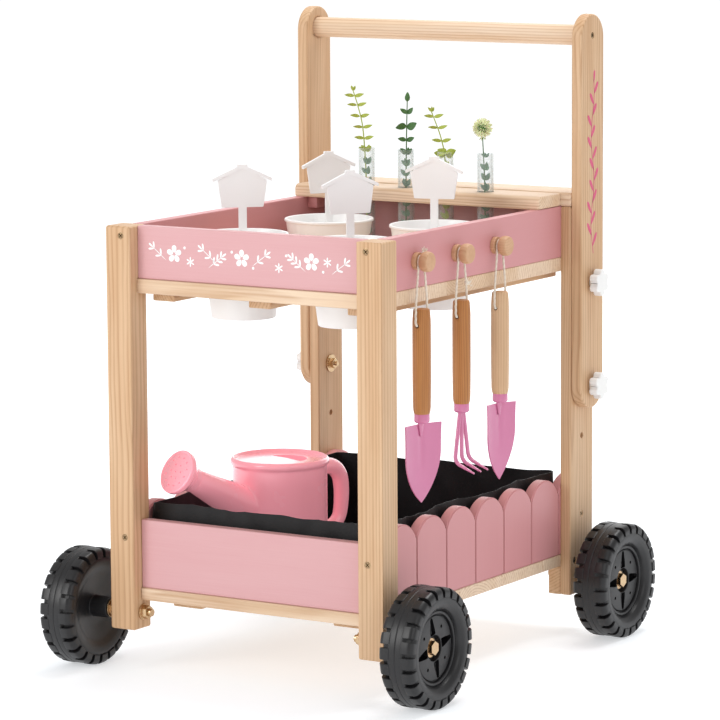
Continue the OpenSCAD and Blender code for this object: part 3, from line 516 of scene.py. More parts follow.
# %% Recipes for repeated pieces
class Recipe(Graph):
    """A Geometry Nodes tree under construction."""

    def __init__(self, name, **inputs):
        self.tree = bpy.data.node_groups.new(name, "GeometryNodeTree")
        sockets = self.tree.interface
        sockets.new_socket("Geometry", in_out="INPUT", socket_type="NodeSocketGeometry")
        self.ids = {label: sockets.new_socket(label, in_out="INPUT",
                                              socket_type="NodeSocket" + kind).identifier
                    for label, kind in inputs.items()}
        sockets.new_socket("Geometry", in_out="OUTPUT", socket_type="NodeSocketGeometry")
        self.entry = self.tree.nodes.new("NodeGroupInput")
        self.exit = self.tree.nodes.new("NodeGroupOutput")

    def given(self, label):
        return Wire(self, self.entry.outputs[label])

    def copies(self, points, rotation=None):
        """Puts the given piece on points, makes it real and gives it the given material."""
        shape = self.node("GeometryNodeObjectInfo", None, {"Object": self.given("Piece")},
                          out="Geometry")
        sockets = {"Points": points, "Instance": shape}
        if rotation is not None:
            sockets["Rotation"] = rotation
        made = self.node("GeometryNodeInstanceOnPoints", None, sockets)
        made = self.node("GeometryNodeRealizeInstances", None, {"Geometry": made})
        made = self.node("GeometryNodeSetMaterial", None,
                         {"Geometry": made, "Material": self.given("Material")})
        self.feed(self.exit.inputs[0], made)
        return self


def grow(name, recipe, base=None, **values):
    """Runs a recipe and gives its result as a plain mesh object."""
    piece = base or plain_mesh(name, [], [])
    piece.name = name
    modifier = piece.modifiers.new("recipe", "NODES")
    modifier.node_group = recipe.tree
    for label, value in values.items():
        modifier[recipe.ids[label]] = value
    settled(piece)
    for label, value in values.items():
        if label == "Piece" and value.name in bpy.data.objects:
            value.hide_render = value.hide_viewport = True
    return piece


def row_recipe():
    """Copies in a row: each one Step further than the last."""
    r = Recipe("row", Piece="Object", Material="Material", Count="Int", Step="Vector")
    number = r.node("GeometryNodeInputIndex")
    shift = r.node("ShaderNodeVectorMath", {"operation": "SCALE"},
                   {0: r.given("Step"), "Scale": number})
    points = r.node("GeometryNodePoints", None, {"Count": r.given("Count"), "Position": shift})
    return r.copies(points)


def ring_recipe():
    """Copies turned evenly about the X axis, starting at Start radians."""
    r = Recipe("ring", Piece="Object", Material="Material", Count="Int", Start="Float")
    number = r.node("GeometryNodeInputIndex")
    angle = number * (2 * math.pi) / r.given("Count") + r.given("Start")
    points = r.node("GeometryNodePoints", None, {"Count": r.given("Count")})
    turn = r.node("FunctionNodeEulerToRotation", None,
                  {0: r.node("ShaderNodeCombineXYZ", None, {0: angle})})
    return r.copies(points, turn)


def spots_recipe():
    """Copies on the points of the base mesh, +Z turned to each point's facing."""
    r = Recipe("spots", Piece="Object", Material="Material")
    base = Wire(r, r.entry.outputs["Geometry"])
    facing = r.node("GeometryNodeInputNamedAttribute", {"data_type": "FLOAT_VECTOR"},
                    {"Name": "facing"})
    turn = r.node("FunctionNodeAlignRotationToVector", {"axis": "Z"}, {"Vector": facing})
    return r.copies(base, turn)


ROW, RING, SPOTS = row_recipe(), ring_recipe(), spots_recipe()


def marks(name, spots):
    """A mesh of loose points; spots = [(place, facing)] in metres."""
    piece = plain_mesh(name, [place for place, _ in spots], [])
    layer = piece.data.attributes.new("facing", "FLOAT_VECTOR", "POINT")
    layer.data.foreach_set("vector", [c for _, facing in spots for c in facing])
    return piece


# %% [markdown]
# ## Shape helpers
# Three helpers make most pieces: `turned` spins an outline like a lathe, `swept` draws a round
# section along a path, and `slab` gives a flat outline a thickness. `joined` and `carved` add
# pieces up and cut one from another, and `mount` tells which body a piece rides on.


# %% Shape helpers
def turns(count, start=0.0):
    """Angles spread evenly round a circle."""
    return [start + 2 * math.pi * k / count for k in range(count)]


def bent(a, corner, b, steps):
    """Points of a curve from a to b that a corner pulls towards itself."""
    return [a * (1 - t) ** 2 + corner * 2 * t * (1 - t) + b * t * t
            for t in (k / steps for k in range(steps + 1))]


def eased(points, radius, closed=True, steps=4):
    """An outline with rounded corners; a point's third value is its own radius."""
    result, count = [], len(points)
    for i, point in enumerate(points):
        here, own = Vector(point[:2]), point[2] if len(point) > 2 else radius
        if own <= 0 or (not closed and i in (0, count - 1)):
            result.append(here)
            continue
        before, after = Vector(points[i - 1][:2]), Vector(points[(i + 1) % count][:2])
        a = here + (before - here).normalized() * min(own, (before - here).length * 0.48)
        b = here + (after - here).normalized() * min(own, (after - here).length * 0.48)
        result += bent(a, here, b, steps)
    return result


def as_object(name, bm):
    """A new object with the mesh of a bmesh, which is freed."""
    piece = plain_mesh(name, [], [])
    bm.to_mesh(piece.data)
    bm.free()
    return piece


def banded(bm, rings, closed=True, ends=False):
    """Quads between each row of vertices and the next; ends closes the first and last row."""
    for one, two in zip(rings, rings[1:]):
        for k in range(len(one) if closed else len(one) - 1):
            n = (k + 1) % len(one)
            bm.faces.new((one[k], one[n], two[n], two[k]))
    if ends:
        bm.faces.new(rings[0])
        bm.faces.new(rings[-1])


def from_bmesh(name, bm, place=None, material=None, crease=40):
    """Finishes a bmesh: normals outwards, placed, smooth, with a material."""
    bmesh.ops.remove_doubles(bm, verts=bm.verts, dist=1e-7)
    bmesh.ops.recalc_face_normals(bm, faces=bm.faces)
    if place is not None:
        bmesh.ops.transform(bm, matrix=place, verts=bm.verts)
        if place.determinant() < 0:
            bmesh.ops.reverse_faces(bm, faces=bm.faces)
    piece = as_object(name, bm)
    if material:
        piece.data.materials.append(material)
    return smooth_by_angle(piece, crease)


def placed_copy(piece, name, place, material, crease=40):
    """A copy of a piece's mesh, moved to its place, in one material."""
    bm = bmesh.new()
    bm.from_mesh(piece.data)
    return from_bmesh(name, bm, place, material, crease)


def thickened(piece, thickness):
    """Gives a sheet a thickness in mm, half to each side."""
    wall = piece.modifiers.new("wall", "SOLIDIFY")
    wall.thickness, wall.offset = thickness * mm, 0
    return settled(piece)


def turned(name, outline, place=None, material=None, segments=64, crease=40):
    """Spins a closed outline of (radius, height) in mm about Z."""
    bm = bmesh.new()
    rings = []
    for radius, height in outline:
        if radius < 1e-6:
            rings.append([bm.verts.new((0, 0, height * mm))])
            continue
        rings.append([bm.verts.new((radius * mm * math.cos(a), radius * mm * math.sin(a),
                                    height * mm)) for a in turns(segments)])
    for one, two in zip(rings, rings[1:] + rings[:1]):
        for k in range(segments):
            n = (k + 1) % segments
            corners = []
            for v in (one[k % len(one)], one[n % len(one)], two[n % len(two)], two[k % len(two)]):
                if v not in corners:
                    corners.append(v)
            if len(corners) > 2:
                bm.faces.new(corners)
    return from_bmesh(name, bm, place, material, crease)


def swept(name, path, sizes, material=None, sides=12, side=None, flat=1.0, place=None):
    """A round bar along a path in metres. sizes is one radius or one per point, in mm;
    flat squeezes the section along the side direction."""
    points = [Vector(p) for p in path]
    sizes = [sizes] * len(points) if isinstance(sizes, (int, float)) else sizes
    flats = [flat] * len(points) if isinstance(flat, (int, float)) else flat
    bm, rings, across = bmesh.new(), [], None
    for i, point in enumerate(points):
        ahead = (points[min(i + 1, len(points) - 1)] - points[max(i - 1, 0)]).normalized()
        if across is None:
            guide = Vector(side) if side else ahead.orthogonal()
        else:
            guide = Vector(side) if side else across
        across = (guide - ahead * guide.dot(ahead)).normalized()
        third = ahead.cross(across)
        rings.append([bm.verts.new(point + (across * math.cos(a) * flats[i] + third * math.sin(a))
                                   * sizes[i] * mm) for a in turns(sides)])
    banded(bm, rings, ends=True)
    return from_bmesh(name, bm, place, material)


def slab(name, outline, thickness, place, material=None, bevel=0.0, steps=2):
    """An outline in mm in the XZ plane, given a thickness along Y about the plane."""
    bm = bmesh.new()
    half = thickness / 2 * mm
    front = [bm.verts.new((x * mm, -half, z * mm)) for x, z in outline]
    back = [bm.verts.new((x * mm, half, z * mm)) for x, z in outline]
    bm.faces.new(front)
    bm.faces.new(back[::-1])
    for k in range(len(front)):
        n = (k + 1) % len(front)
        bm.faces.new((front[k], back[k], back[n], front[n]))
    bmesh.ops.recalc_face_normals(bm, faces=bm.faces)
    if bevel:
        rim = [e for e in bm.edges if e.calc_face_angle(0) > CREASE]
        bmesh.ops.bevel(bm, geom=rim, offset=bevel * mm, segments=steps, affect="EDGES",
                        clamp_overlap=True)
    return from_bmesh(name, bm, place, material)


def joined(name, pieces):
    """Several mesh objects made one, each keeping its material."""
    bm, materials = bmesh.new(), []
    for piece in pieces:
        start = len(bm.faces)
        bm.from_mesh(piece.data)
        bm.faces.ensure_lookup_table()
        for face in bm.faces[start:]:
            used = piece.data.materials[face.material_index] if piece.data.materials else None
            if used not in materials:
                materials.append(used)
            face.material_index = materials.index(used)
    mesh = bpy.data.meshes.new(name)
    bm.to_mesh(mesh)
    bm.free()
    for material in materials:
        mesh.materials.append(material)
    for piece in pieces:
        bpy.data.objects.remove(piece)
    whole = bpy.data.objects.new(name, mesh)
    bpy.context.scene.collection.objects.link(whole)
    return smooth_by_angle(whole)


def carved(piece, cutter):
    """Takes the cutter's shape out of a piece."""
    cut = piece.modifiers.new("cut", "BOOLEAN")
    cut.operation, cut.object, cut.solver = "DIFFERENCE", cutter, "EXACT"
    settled(piece)
    bpy.data.objects.remove(cutter)
    return smooth_by_angle(piece)


def moved(x=0, y=0, z=0):
    """A shift in mm."""
    return Matrix.Translation((x * mm, y * mm, z * mm))


def spun(degrees, axis):
    return Matrix.Rotation(math.radians(degrees), 4, axis)


MIRROR_X = Matrix.Scale(-1, 4, (1, 0, 0))
Z_TO_X = spun(90, "Y")


def smooth_path(points, steps=6):
    """A smooth curve through points, in the units of the points."""
    knots = [Vector(p) for p in points]
    knots = [knots[0] * 2 - knots[1]] + knots + [knots[-1] * 2 - knots[-2]]
    result = []
    for a, b, c, d in zip(knots, knots[1:], knots[2:], knots[3:]):
        for k in range(steps):
            t = k / steps
            result.append(0.5 * ((2 * b) + (c - a) * t + (2 * a - 5 * b + 4 * c - d) * t * t
                                 + (3 * b - a - 3 * c + d) * t ** 3))
    return result + [knots[-2]]


def mount(piece, body, *replaced, slot=None):
    """Rides the piece on a body, in place of construction nodes."""
    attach(piece, body)
    if replaced:
        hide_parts(*replaced)
    return piece


# %% [markdown]
# ## Plastic, metal, cloth and leaf finishes
# Moulded plastic has a faint orange-peel skin, zinc plate has a yellow cast with blotches, and
# the liner is a felted cloth.


# %% Plastic, metal, cloth and leaf finishes
def moulded(name, colour, rough, skin=0.00003, grain=0.9, shade=0.06, coat=0.0, painted_glow=0.0):
    """Moulded plastic with a fine skin and a slight change of shade.

    painted_glow is painted light: an emission in the piece's own colour that brightens it beyond what the
    lamps give."""
    f = Finish(name)
    here = f.point(*f.place())
    fine = f.cloud(here, grain, 2)
    wide = f.cloud(here, 0.03, 3)
    darker = tuple(c * (1 - 3 * shade) for c in colour[:3]) + (1,)
    f.set(Base_Color=f.blend(wide * 0.8 + (fine - 0.5) * 0.2, colour, darker),
          Roughness=rough + (wide - 0.5) * 0.12, Coat_Weight=coat, Coat_Roughness=0.2,
          Emission_Strength=painted_glow, Emission_Color=colour)
    f.bump(fine, skin, 0.6)
    return f.material


def plated(name, colour, warm):
    """Yellow zinc plate: a metal with a blotched rainbow cast."""
    f = Finish(name)
    here = f.point(*f.place())
    blot = f.cloud(here, 0.35, 4)
    f.set(Base_Color=f.blend(blot, colour, warm), Metallic=1.0,
          Roughness=0.24 + (blot - 0.5) * 0.2)
    f.bump(f.cloud(here, 1.6, 2), 0.00003, 0.5)
    return f.material


white_plastic = moulded("white_plastic", rgb(247, 246, 245), 0.34, shade=0.01)
knob_white = moulded("knob_white", rgb(244, 243, 241), 0.4, shade=0.015)
black_plastic = moulded("black_plastic", rgb(23, 22, 24), 0.38, skin=0.00006, grain=0.5,
                        shade=0.1)
# The can's pink glows a little: painted light that brightens the can and its rose where the upper tray
# shades them.
can_pink = moulded("can_pink", rgb(252, 164, 178), 0.26, shade=0.012, coat=0.9, painted_glow=0.3)
enamel_pink = moulded("enamel_pink", rgb(212, 122, 162), 0.22, skin=0.00002, grain=0.3,
                      shade=0.03, coat=0.4)
bronze = plated("screw_bronze", (0.42, 0.31, 0.17, 1), (0.26, 0.15, 0.09, 1))
zinc = plated("yellow_zinc", (0.62, 0.50, 0.28, 1), (0.56, 0.32, 0.20, 1))
print_white = moulded("print_white", rgb(250, 249, 248), 0.5, shade=0.01)
print_pink = moulded("print_pink", rgb(219, 88, 128), 0.5, shade=0.05)
print("finishes so far:", len(bpy.data.materials))

# %% [markdown]
# ## Bolts and nuts
# The axle bolts, handle bolts, washers and nuts keep their shape. Their edges are eased a
# little, holes as well, so that they catch the light, and they get the zinc plate.

# %% Bolts and nuts
hardware = rounded("bolts_nuts_washers", 0.35 * mm, zinc, steps=2, hole_size=0)
print("bolts and nuts", len(hardware.data.polygons), "faces")

# %% [markdown]
# ## Wood screws
# A countersunk head with a cross recess, sunk a little below the wood. One head is modelled
# and a recipe copies it to each screw place, turned to its face.

# %% Wood screws
SCREW_SINK = 0.7
POST_FACE, LEG_FACE, UPRIGHT_FACE = -214, 167, 179.5
POST_X, LEG_Y, BLOCK_Y = 148.5, 199, 184
POST_HEIGHTS, LEG_HEIGHTS, BLOCK_HEIGHT, HANDLE_HEIGHT = (458, 142), (440.5, 131), 81.5, 650
RECESS = [(-2.2, -1.8), (2.2, -1.8), (2.5, 1), (-2.5, 1)]
head = turned("screw_head", eased([(0, -9), (1.7, -9), (1.7, -3), (4.1, -0.4, 0.3), (3.9, 0, 0.3),
                                   (0, 0.25)], 0, closed=False), segments=32)
for bar_turn in (45, -45):
    carved(head, slab("bar", RECESS, 0.9, spun(bar_turn, "Z")))
screw_places = []
for side in (-1, 1):
    screw_places += [((side * POST_X, POST_FACE + SCREW_SINK, z), (0, -1, 0)) for z in POST_HEIGHTS]
    leg_places = [(LEG_Y, z) for z in LEG_HEIGHTS] + [(BLOCK_Y, BLOCK_HEIGHT)]
    screw_places += [((side * (LEG_FACE - SCREW_SINK), y, z), (side, 0, 0)) for y, z in leg_places]
    screw_places.append(((side * (UPRIGHT_FACE - SCREW_SINK), LEG_Y, HANDLE_HEIGHT), (side, 0, 0)))
screws = grow("screws", SPOTS, marks("screw_marks", [(Vector(p) * mm, d) for p, d in screw_places]),
              Piece=head, Material=bronze)
mount(smooth_by_angle(screws), "frame", "wood_screws", slot="zinc_steel")
print("screws", len(screw_places))

# %% [markdown]
# ## Picket fence
# Each side panel of the lower tray looks like a garden fence. One picket with a round top and
# eased edges is copied in a row, and the row is trimmed at the post and behind the leg. Where
# the eased edges meet, a groove appears by itself, and it shows bare wood darkened with painted shade.

# %% Picket fence
PICKET_W, PICKET_BASE, PICKET_TOP, PICKET_ARCH, PICKETS = 59.4, 88, 174.5, 19, 7
PICKET_EASE, GROOVE_HALF = 1.3, 1.1
PANEL_IN, PANEL_T = 142.5, 12
LAST_GROOVE, POST_BACK, LEG_BACK = 170, -184, 224
arc_radius = ((PICKET_W / 2) ** 2 + PICKET_ARCH ** 2) / (2 * PICKET_ARCH)
arc_half = math.asin(PICKET_W / 2 / arc_radius)
outline = [(-PICKET_W / 2, PICKET_BASE), (PICKET_W / 2, PICKET_BASE)]
for k in range(25):
    a = arc_half - 2 * arc_half * k / 24
    outline.append((arc_radius * math.sin(a), PICKET_TOP - arc_radius + arc_radius * math.cos(a)))
picket = slab("picket", outline, PANEL_T, spun(90, "Z"), bevel=PICKET_EASE, steps=3)
fence_paint = painted_wood("pink_paint_fence", Z, (LAST_GROOVE, PICKET_W, GROOVE_HALF))
for side, name in ((-1, "left_picket_panel"), (1, "right_picket_panel")):
    fence = grow(name + "_fence", ROW, Piece=picket, Material=fence_paint, Count=PICKETS,
                 Step=(0, -PICKET_W * mm, 0))
    bm = bmesh.new()
    bm.from_mesh(fence.data)
    bmesh.ops.transform(bm, verts=bm.verts, matrix=moved(
        side * (PANEL_IN + PANEL_T / 2), LAST_GROOVE + PICKET_W / 2, 0))
    for y, way in ((POST_BACK, -1), (LEG_BACK, 1)):
        bmesh.ops.bisect_plane(bm, geom=bm.verts[:] + bm.edges[:] + bm.faces[:],
                               plane_co=(0, y * mm, 0), plane_no=(0, way, 0), clear_outer=True)
        bmesh.ops.holes_fill(bm, edges=[e for e in bm.edges if e.is_boundary])
    bm.to_mesh(fence.data)
    bm.free()
    mount(smooth_by_angle(fence), "frame", name, slot="pink_paint")
    print(name, len(fence.data.polygons), "faces")
bpy.data.objects.remove(picket)

# %% [markdown]
# ## Printed border and vine
# The front panel has a white border of small flowers and leaves, and the upright a pink vine.
# Both are general garden motifs laid out here: a motif is a few petals, each one a thin
# teardrop just proud of the paint.


# %% Printed border and vine
def petal(x, z, angle, length, width, sharp=0.6):
    """A teardrop from (x, z) along an angle in degrees."""
    turn, points = math.radians(angle), []
    for k in range(14):
        t = 2 * math.pi * k / 14
        along = (1 - math.cos(t)) / 2
        across = math.sin(t) * 0.5 * (0.35 + along ** sharp * 0.65) * width
        points.append((x + along * length * math.cos(turn) - across * math.sin(turn),
                       z + along * length * math.sin(turn) + across * math.cos(turn)))
    return points


def flower(x, z, size, petals, start=90):
    """Petals round a bare middle."""
    return [petal(x + size * 0.16 * math.cos(math.radians(a)), z + size * 0.16 *
                  math.sin(math.radians(a)), a, size * 0.84, size * 0.72, 0.3)
            for a in (start + 360 * k / petals for k in range(petals))]


def twig(x, z, angle, length, pairs, leaf=7.4):
    """A stalk with leaves in pairs and one at its tip."""
    turn = math.radians(angle)
    shapes = [petal(x, z, angle, length, 0.8, 0.1)]
    for k in range(pairs):
        far = length * (0.35 + 0.5 * k / max(pairs - 1, 1))
        at = (x + far * math.cos(turn), z + far * math.sin(turn))
        shapes += [petal(*at, angle + s * 44, leaf, leaf * 0.36) for s in (-1, 1)]
    tip = (x + length * 0.9 * math.cos(turn), z + length * 0.9 * math.sin(turn))
    return shapes + [petal(*tip, angle, leaf, leaf * 0.36)]


def dot(x, z, size):
    """A small disc."""
    return [[(x + size * math.cos(a), z + size * math.sin(a)) for a in turns(12)]]


def printed(name, shapes, place, material):
    """Flat shapes in mm as one thin print."""
    bm = bmesh.new()
    for shape in shapes:
        bm.faces.new([bm.verts.new((x * mm, 0, z * mm)) for x, z in shape])
    bmesh.ops.transform(bm, matrix=place, verts=bm.verts)
    piece = as_object(name, bm)
    piece.data.materials.append(material)
    return mount(piece, "frame")


def vine_x(z):
    """The vine's stem sways from side to side as it climbs."""
    return VINE_SWAY * math.sin(z / VINE_BEND)


PRINT_LIFT, FRONT_PANEL_Y, BORDER_Z = 0.12, -200, 440
VINE_LOW, VINE_STEP, VINE_STEPS, VINE_SWAY, VINE_BEND, STEM_HALF = 416, 7.2, 26, 3.4, 15, 0.55
LEAF_LOW, LEAF_STEP, LEAVES, LEAF_TURN, TIP_Z = 424, 11.7, 15, 33, 600
border = []
for x, z, kind in ((-112, 2, "twig_left"), (-91, 1, "big"), (-78, 8, "dot"), (-71, -6, "star"),
                   (-51, 3, "twig_left"), (-38, -3, "twig_right"), (-20, 7, "dot"), (-8, 1, "big"),
                   (6, -8, "dot"), (16, 2, "twig_right"), (37, -6, "star"), (46, 7, "dot"),
                   (58, 0, "twig_left"), (76, 2, "big"), (90, -7, "dot"), (95, 3, "star"),
                   (111, -1, "twig_right")):
    z += BORDER_Z
    if kind == "big":
        border += flower(x, z, 9.2, 5)
    elif kind == "star":
        border += [petal(x, z, 60 * k + 30, 5.2, 1.9, 0.5) for k in range(6)]
    elif kind == "dot":
        border += dot(x, z, 1.5)
    elif kind == "twig_left":
        border += twig(x + 11, z - 8, 142, 22, 2 if x < 0 else 3)
    else:
        border += twig(x - 11, z - 8, 36, 22, 3 if x < 0 else 2)
printed("front_border", border, moved(0, FRONT_PANEL_Y - PRINT_LIFT, 0), print_white)

vine = []
for k in range(VINE_STEPS):
    z0, z1 = (VINE_LOW + VINE_STEP * k, VINE_LOW + VINE_STEP * (k + 1))
    x0, x1 = vine_x(z0), vine_x(z1)
    vine.append([(x0 - STEM_HALF, z0), (x0 + STEM_HALF, z0), (x1 + STEM_HALF, z1),
                 (x1 - STEM_HALF, z1)])
for k in range(LEAVES):
    z = LEAF_LOW + LEAF_STEP * k
    vine.append(petal(vine_x(z), z, 90 + (LEAF_TURN if k % 2 else -LEAF_TURN), 17 - k * 0.15, 5.8))
vine.append(petal(vine_x(TIP_Z), TIP_Z, 84, 13, 4.6))
for side, name in ((-1, "vine_left"), (1, "vine_right")):
    printed(name, vine, moved(side * (UPRIGHT_FACE + PRINT_LIFT), LEG_Y, 0) @ spun(side * 90, "Z"),
            print_pink)
print("border of", len(border), "shapes, vine of", len(vine))

# %% [markdown]
# ## Star knobs
# Each knob is a moving piece. Its lobes are eased more than a board's edge, as moulded plastic
# is, and the bolt hole stays crisp.

# %% Star knobs
for node in ("left_upper_knob", "left_lower_knob", "right_upper_knob", "right_lower_knob"):
    rounded(node, 1.5 * mm, knob_white, body=node, steps=4, hole_size=8 * mm)
    print(node, "rounded")

# %% [markdown]
# ## Pegs
# The turned pegs are a finer-grained wood with weaker rings, and every edge of them is eased.

# %% Pegs
peg_wood = wood("peg_wood", X, (30, 460), ring=2.6, contrast=0.7,
                colours=(rgb(214, 172, 136), rgb(203, 158, 121), rgb(176, 124, 84)))
pegs = rounded("tool_pegs", 0.8 * mm, peg_wood, hole_size=0)
print("pegs", len(pegs.data.polygons), "faces")

# %% [markdown]
# ## Wheels
# A moulded black wheel: one lathe profile gives the hub, the disc, the rim lip and the bulging
# side wall. The tread is a ring of lugs that grip round the shoulder, staggered from side to
# side, and the disc has four tapered slots and four small holes.

# %% Wheels
AXLE_Y, AXLE_Z, WHEEL_X = 199, 62, 208
LUGS, LUG_SHARE = 24, 0.74  # number of lugs, and how much of the way round they take up
SLOTS, DISC_X, HOLE_FAR, HOLE_R = 4, 9, 24, 1.8
SLOT = [(13.8, -5), (20, -4.4), (31.6, -2.1), (32.2, 0), (31.6, 2.1), (20, 4.4), (13.8, 5)]
RIB, RIB_FARS = [(-0.55, -4.2), (0.55, -4.2), (0.55, 4.2), (-0.55, 4.2)], (17.5, 21.5, 25.5)
wheel_outline = eased(
    [(4.3, 4, 0.3), (12.5, 4, 0.6), (13.2, 10, 0.8), (33, 10, 0.8), (33.6, 8.2, 0.4), (34.6, 8.2, 0.4),
     (35, 11.6, 0.6), (37.6, 12, 0.8), (38.6, 10.6, 0.4), (40, 15.2), (44.5, 18.2), (50, 19),
     (54, 18.2), (56.4, 15.6, 1.5), (57.4, 9.8, 0.8), (61.4, 8, 0.8), (61.6, 0.6, 0.3), (61, 0, 0.3),
     (61.6, -0.6, 0.3), (61.4, -8, 0.8), (57.4, -9.8, 0.8), (56.4, -15.6, 1.5), (50, -19),
     (43, -17.6), (36, -14.5), (20, -11), (11.4, -10, 0.8), (11, -31, 0.8), (4.3, -31, 0.3)], 2.0, steps=3)


def lug(side):
    """One tread lug: an arch of rubber from the middle over the shoulder to the side wall."""
    inner, outer = 6.4, 19.4
    profile = eased([(55.5, side * inner), (61.9, side * inner, 0.8), (61.9, side * 15.8, 2.0),
                     (58.6, side * outer, 2.4), (51.6, side * (outer + 0.3), 1.0),
                     (52.2, side * 17.2)], 0.6, steps=3)
    bm = bmesh.new()
    half = math.radians(360 / LUGS / 2 * LUG_SHARE)
    rings = [[bm.verts.new((x * mm, r * mm * math.sin(a), r * mm * math.cos(a)))
              for r, x in profile] for a in (-half, -half * 0.34, half * 0.34, half)]
    banded(bm, rings, ends=True)
    bmesh.ops.recalc_face_normals(bm, faces=bm.faces)
    rim = [e for e in bm.edges if len(e.link_faces) == 2 and e.calc_face_angle(0) > 0.9]
    bmesh.ops.bevel(bm, geom=rim, offset=0.5 * mm, segments=2, affect="EDGES", clamp_overlap=True)
    return from_bmesh("lug", bm)


tyre_lugs = []
for side in (-1, 1):
    one_lug = lug(side)
    tyre_lugs.append(grow("lugs", RING, Piece=one_lug, Material=black_plastic, Count=LUGS,
                          Start=math.pi / LUGS * (side > 0)))
    bpy.data.objects.remove(one_lug)
wheel_disc = turned("wheel_disc", wheel_outline, Z_TO_X, black_plastic, 96)
for turn in (360 / SLOTS * k for k in range(SLOTS)):
    carved(wheel_disc, slab("slot_cut", SLOT, 16, spun(turn, "X") @ moved(DISC_X, 0, 0)
                            @ spun(90, "Z") @ spun(90, "Y"), bevel=0.6))
    carved(wheel_disc, turned("hole_cut", [(0, -6), (HOLE_R, -6), (HOLE_R, 8), (0, 8)],
                              spun(turn + 45, "X") @ moved(DISC_X + 1, 0, HOLE_FAR) @ Z_TO_X,
                              segments=20))
ribs = [slab("rib", RIB, 6, spun(turn, "X") @ moved(4, 0, far) @ spun(90, "Y") @ spun(90, "Z"),
             black_plastic, 0.2)
        for turn in (0, 180) for far in RIB_FARS]
collar = turned("collar", eased([(4.6, 4), (8.6, 4), (8.6, 5.2, 0.4), (4.6, 5.2, 0.4)], 0.1),
                Z_TO_X, black_plastic, 48)
wheel = joined("wheel", [wheel_disc, collar] + ribs + tyre_lugs)
for node, side, end, turn in (("front_left_wheel", -1, -1, 33), ("front_right_wheel", 1, -1, 12),
                              ("rear_left_wheel", -1, 1, 20), ("rear_right_wheel", 1, 1, 0)):
    place = moved(side * WHEEL_X, end * AXLE_Y, AXLE_Z) @ (
        spun(turn, "X") if side > 0 else MIRROR_X @ spun(turn, "X"))
    mount(placed_copy(wheel, node + "_tyre", place, black_plastic), node, node,
          slot="black_plastic")
print("wheel faces", len(wheel.data.polygons))
bpy.data.objects.remove(wheel)

# %% [markdown]
# ## Plant pots
# Thin white pots with a rolled rim and a stepped foot.

# %% Plant pots
POTS = {"front_left_pot": (-66, -110), "front_right_pot": (66, -110),
        "rear_left_pot": (-66, 58), "rear_right_pot": (66, 58)}
POT_BOTTOM = 367.2
pot_outline = eased([(0, 4, 0), (30.6, 4, 0.8), (31, 0.4, 0.3), (33.6, 0, 0.8), (42.8, 71, 0.4),
                     (44.4, 71, 0.6), (46.3, 85, 0.3), (48, 85, 0.8), (48, 88, 1.2), (45, 88, 0.9),
                     (42.9, 72.6, 1.0), (41.4, 72.4, 0.6), (31.4, 6, 1.5), (0, 6, 0)], 0.6, steps=3)
for node, (x, y) in POTS.items():
    pot = turned(node + "_shape", pot_outline, moved(x, y, POT_BOTTOM), white_plastic, 96)
    mount(pot, node, node, slot="white_plastic")
    print(node, len(pot.data.polygons), "faces")

# %% [markdown]
# ## Plant labels
# Each label is a small house on a stake: a plate, a raised roof band with an eased ridge, and
# a stake that ends in a point.

# %% Plant labels
LABEL_BASE, LABEL_LOW, LABEL_HIGH, LABEL_H = 482.2, 44, 52, 28
ROOF_W, ROOF_RISE, STAKE_W, STAKE_END = 62, 13, 8.5, 373.5
LABELS = {"front_left_label": ("front_left_pot", 42), "front_right_label": ("front_right_pot", 235),
          "rear_left_label": ("rear_left_pot", 238), "rear_right_label": ("rear_right_pot", 16)}
eave = LABEL_BASE + LABEL_H
ridge = eave + ROOF_RISE
for node, (pot, yaw) in LABELS.items():
    x, y = POTS[pot]
    place = moved(x, y, 0) @ spun(yaw, "Z")
    plate = [(-LABEL_LOW / 2, LABEL_BASE), (LABEL_LOW / 2, LABEL_BASE), (LABEL_HIGH / 2, eave),
             (0, ridge + 1), (-LABEL_HIGH / 2, eave)]
    band = [(-ROOF_W / 2, eave - 1.2), (0, ridge - 0.8), (ROOF_W / 2, eave - 1.2),
            (ROOF_W / 2 + 0.4, eave + 2.2), (5.4, ridge + 1.2), (5.2, ridge + 3.8),
            (-5.2, ridge + 3.8), (-5.4, ridge + 1.2), (-ROOF_W / 2 - 0.4, eave + 2.2)]
    stake = [(-STAKE_W / 2, LABEL_BASE + 2), (-STAKE_W / 2, STAKE_END + 9), (0, STAKE_END),
             (STAKE_W / 2, STAKE_END + 9), (STAKE_W / 2, LABEL_BASE + 2)]
    label = joined(node + "_shape", [
        slab(part, eased(shape, corner), thickness, place, white_plastic, bevel)
        for part, shape, corner, thickness, bevel in (
            ("plate", plate, 1.2, 1.8, 0.35), ("band", band, 0.7, 4, 0.6),
            ("stake", stake, 0.6, 2, 0.4))])
    mount(label, node, node, slot="white_plastic")
    print(node, len(label.data.polygons), "faces")

# %% [markdown]
# ## Glass tubes
# A round-bottomed glass tube. Clear glass over a white background shows only where it is
# steep to the eye, so its alpha follows a Layer Weight: clear in the middle and, as painted reflection,
# greyer and denser at the edge.

# %% Glass tubes
def tube_glass():
    f = Finish("tube_glass")
    x, y, z = f.place()
    edge = f.node("ShaderNodeLayerWeight", None, {"Blend": 0.28}, out="Facing")
    smear = f.cloud(f.point(x * 0.1, y * 0.1, z * 0.03), 1.0, 2)
    # Greyer and more opaque towards the edge: painted reflection of the steep glass.
    f.set(Base_Color=f.blend(edge, rgb(226, 236, 236), rgb(188, 204, 204)),
          Alpha=edge * 0.6 + 0.1, Roughness=0.04 + smear * 0.05,
          Specular_IOR_Level=0.7)
    return f.material


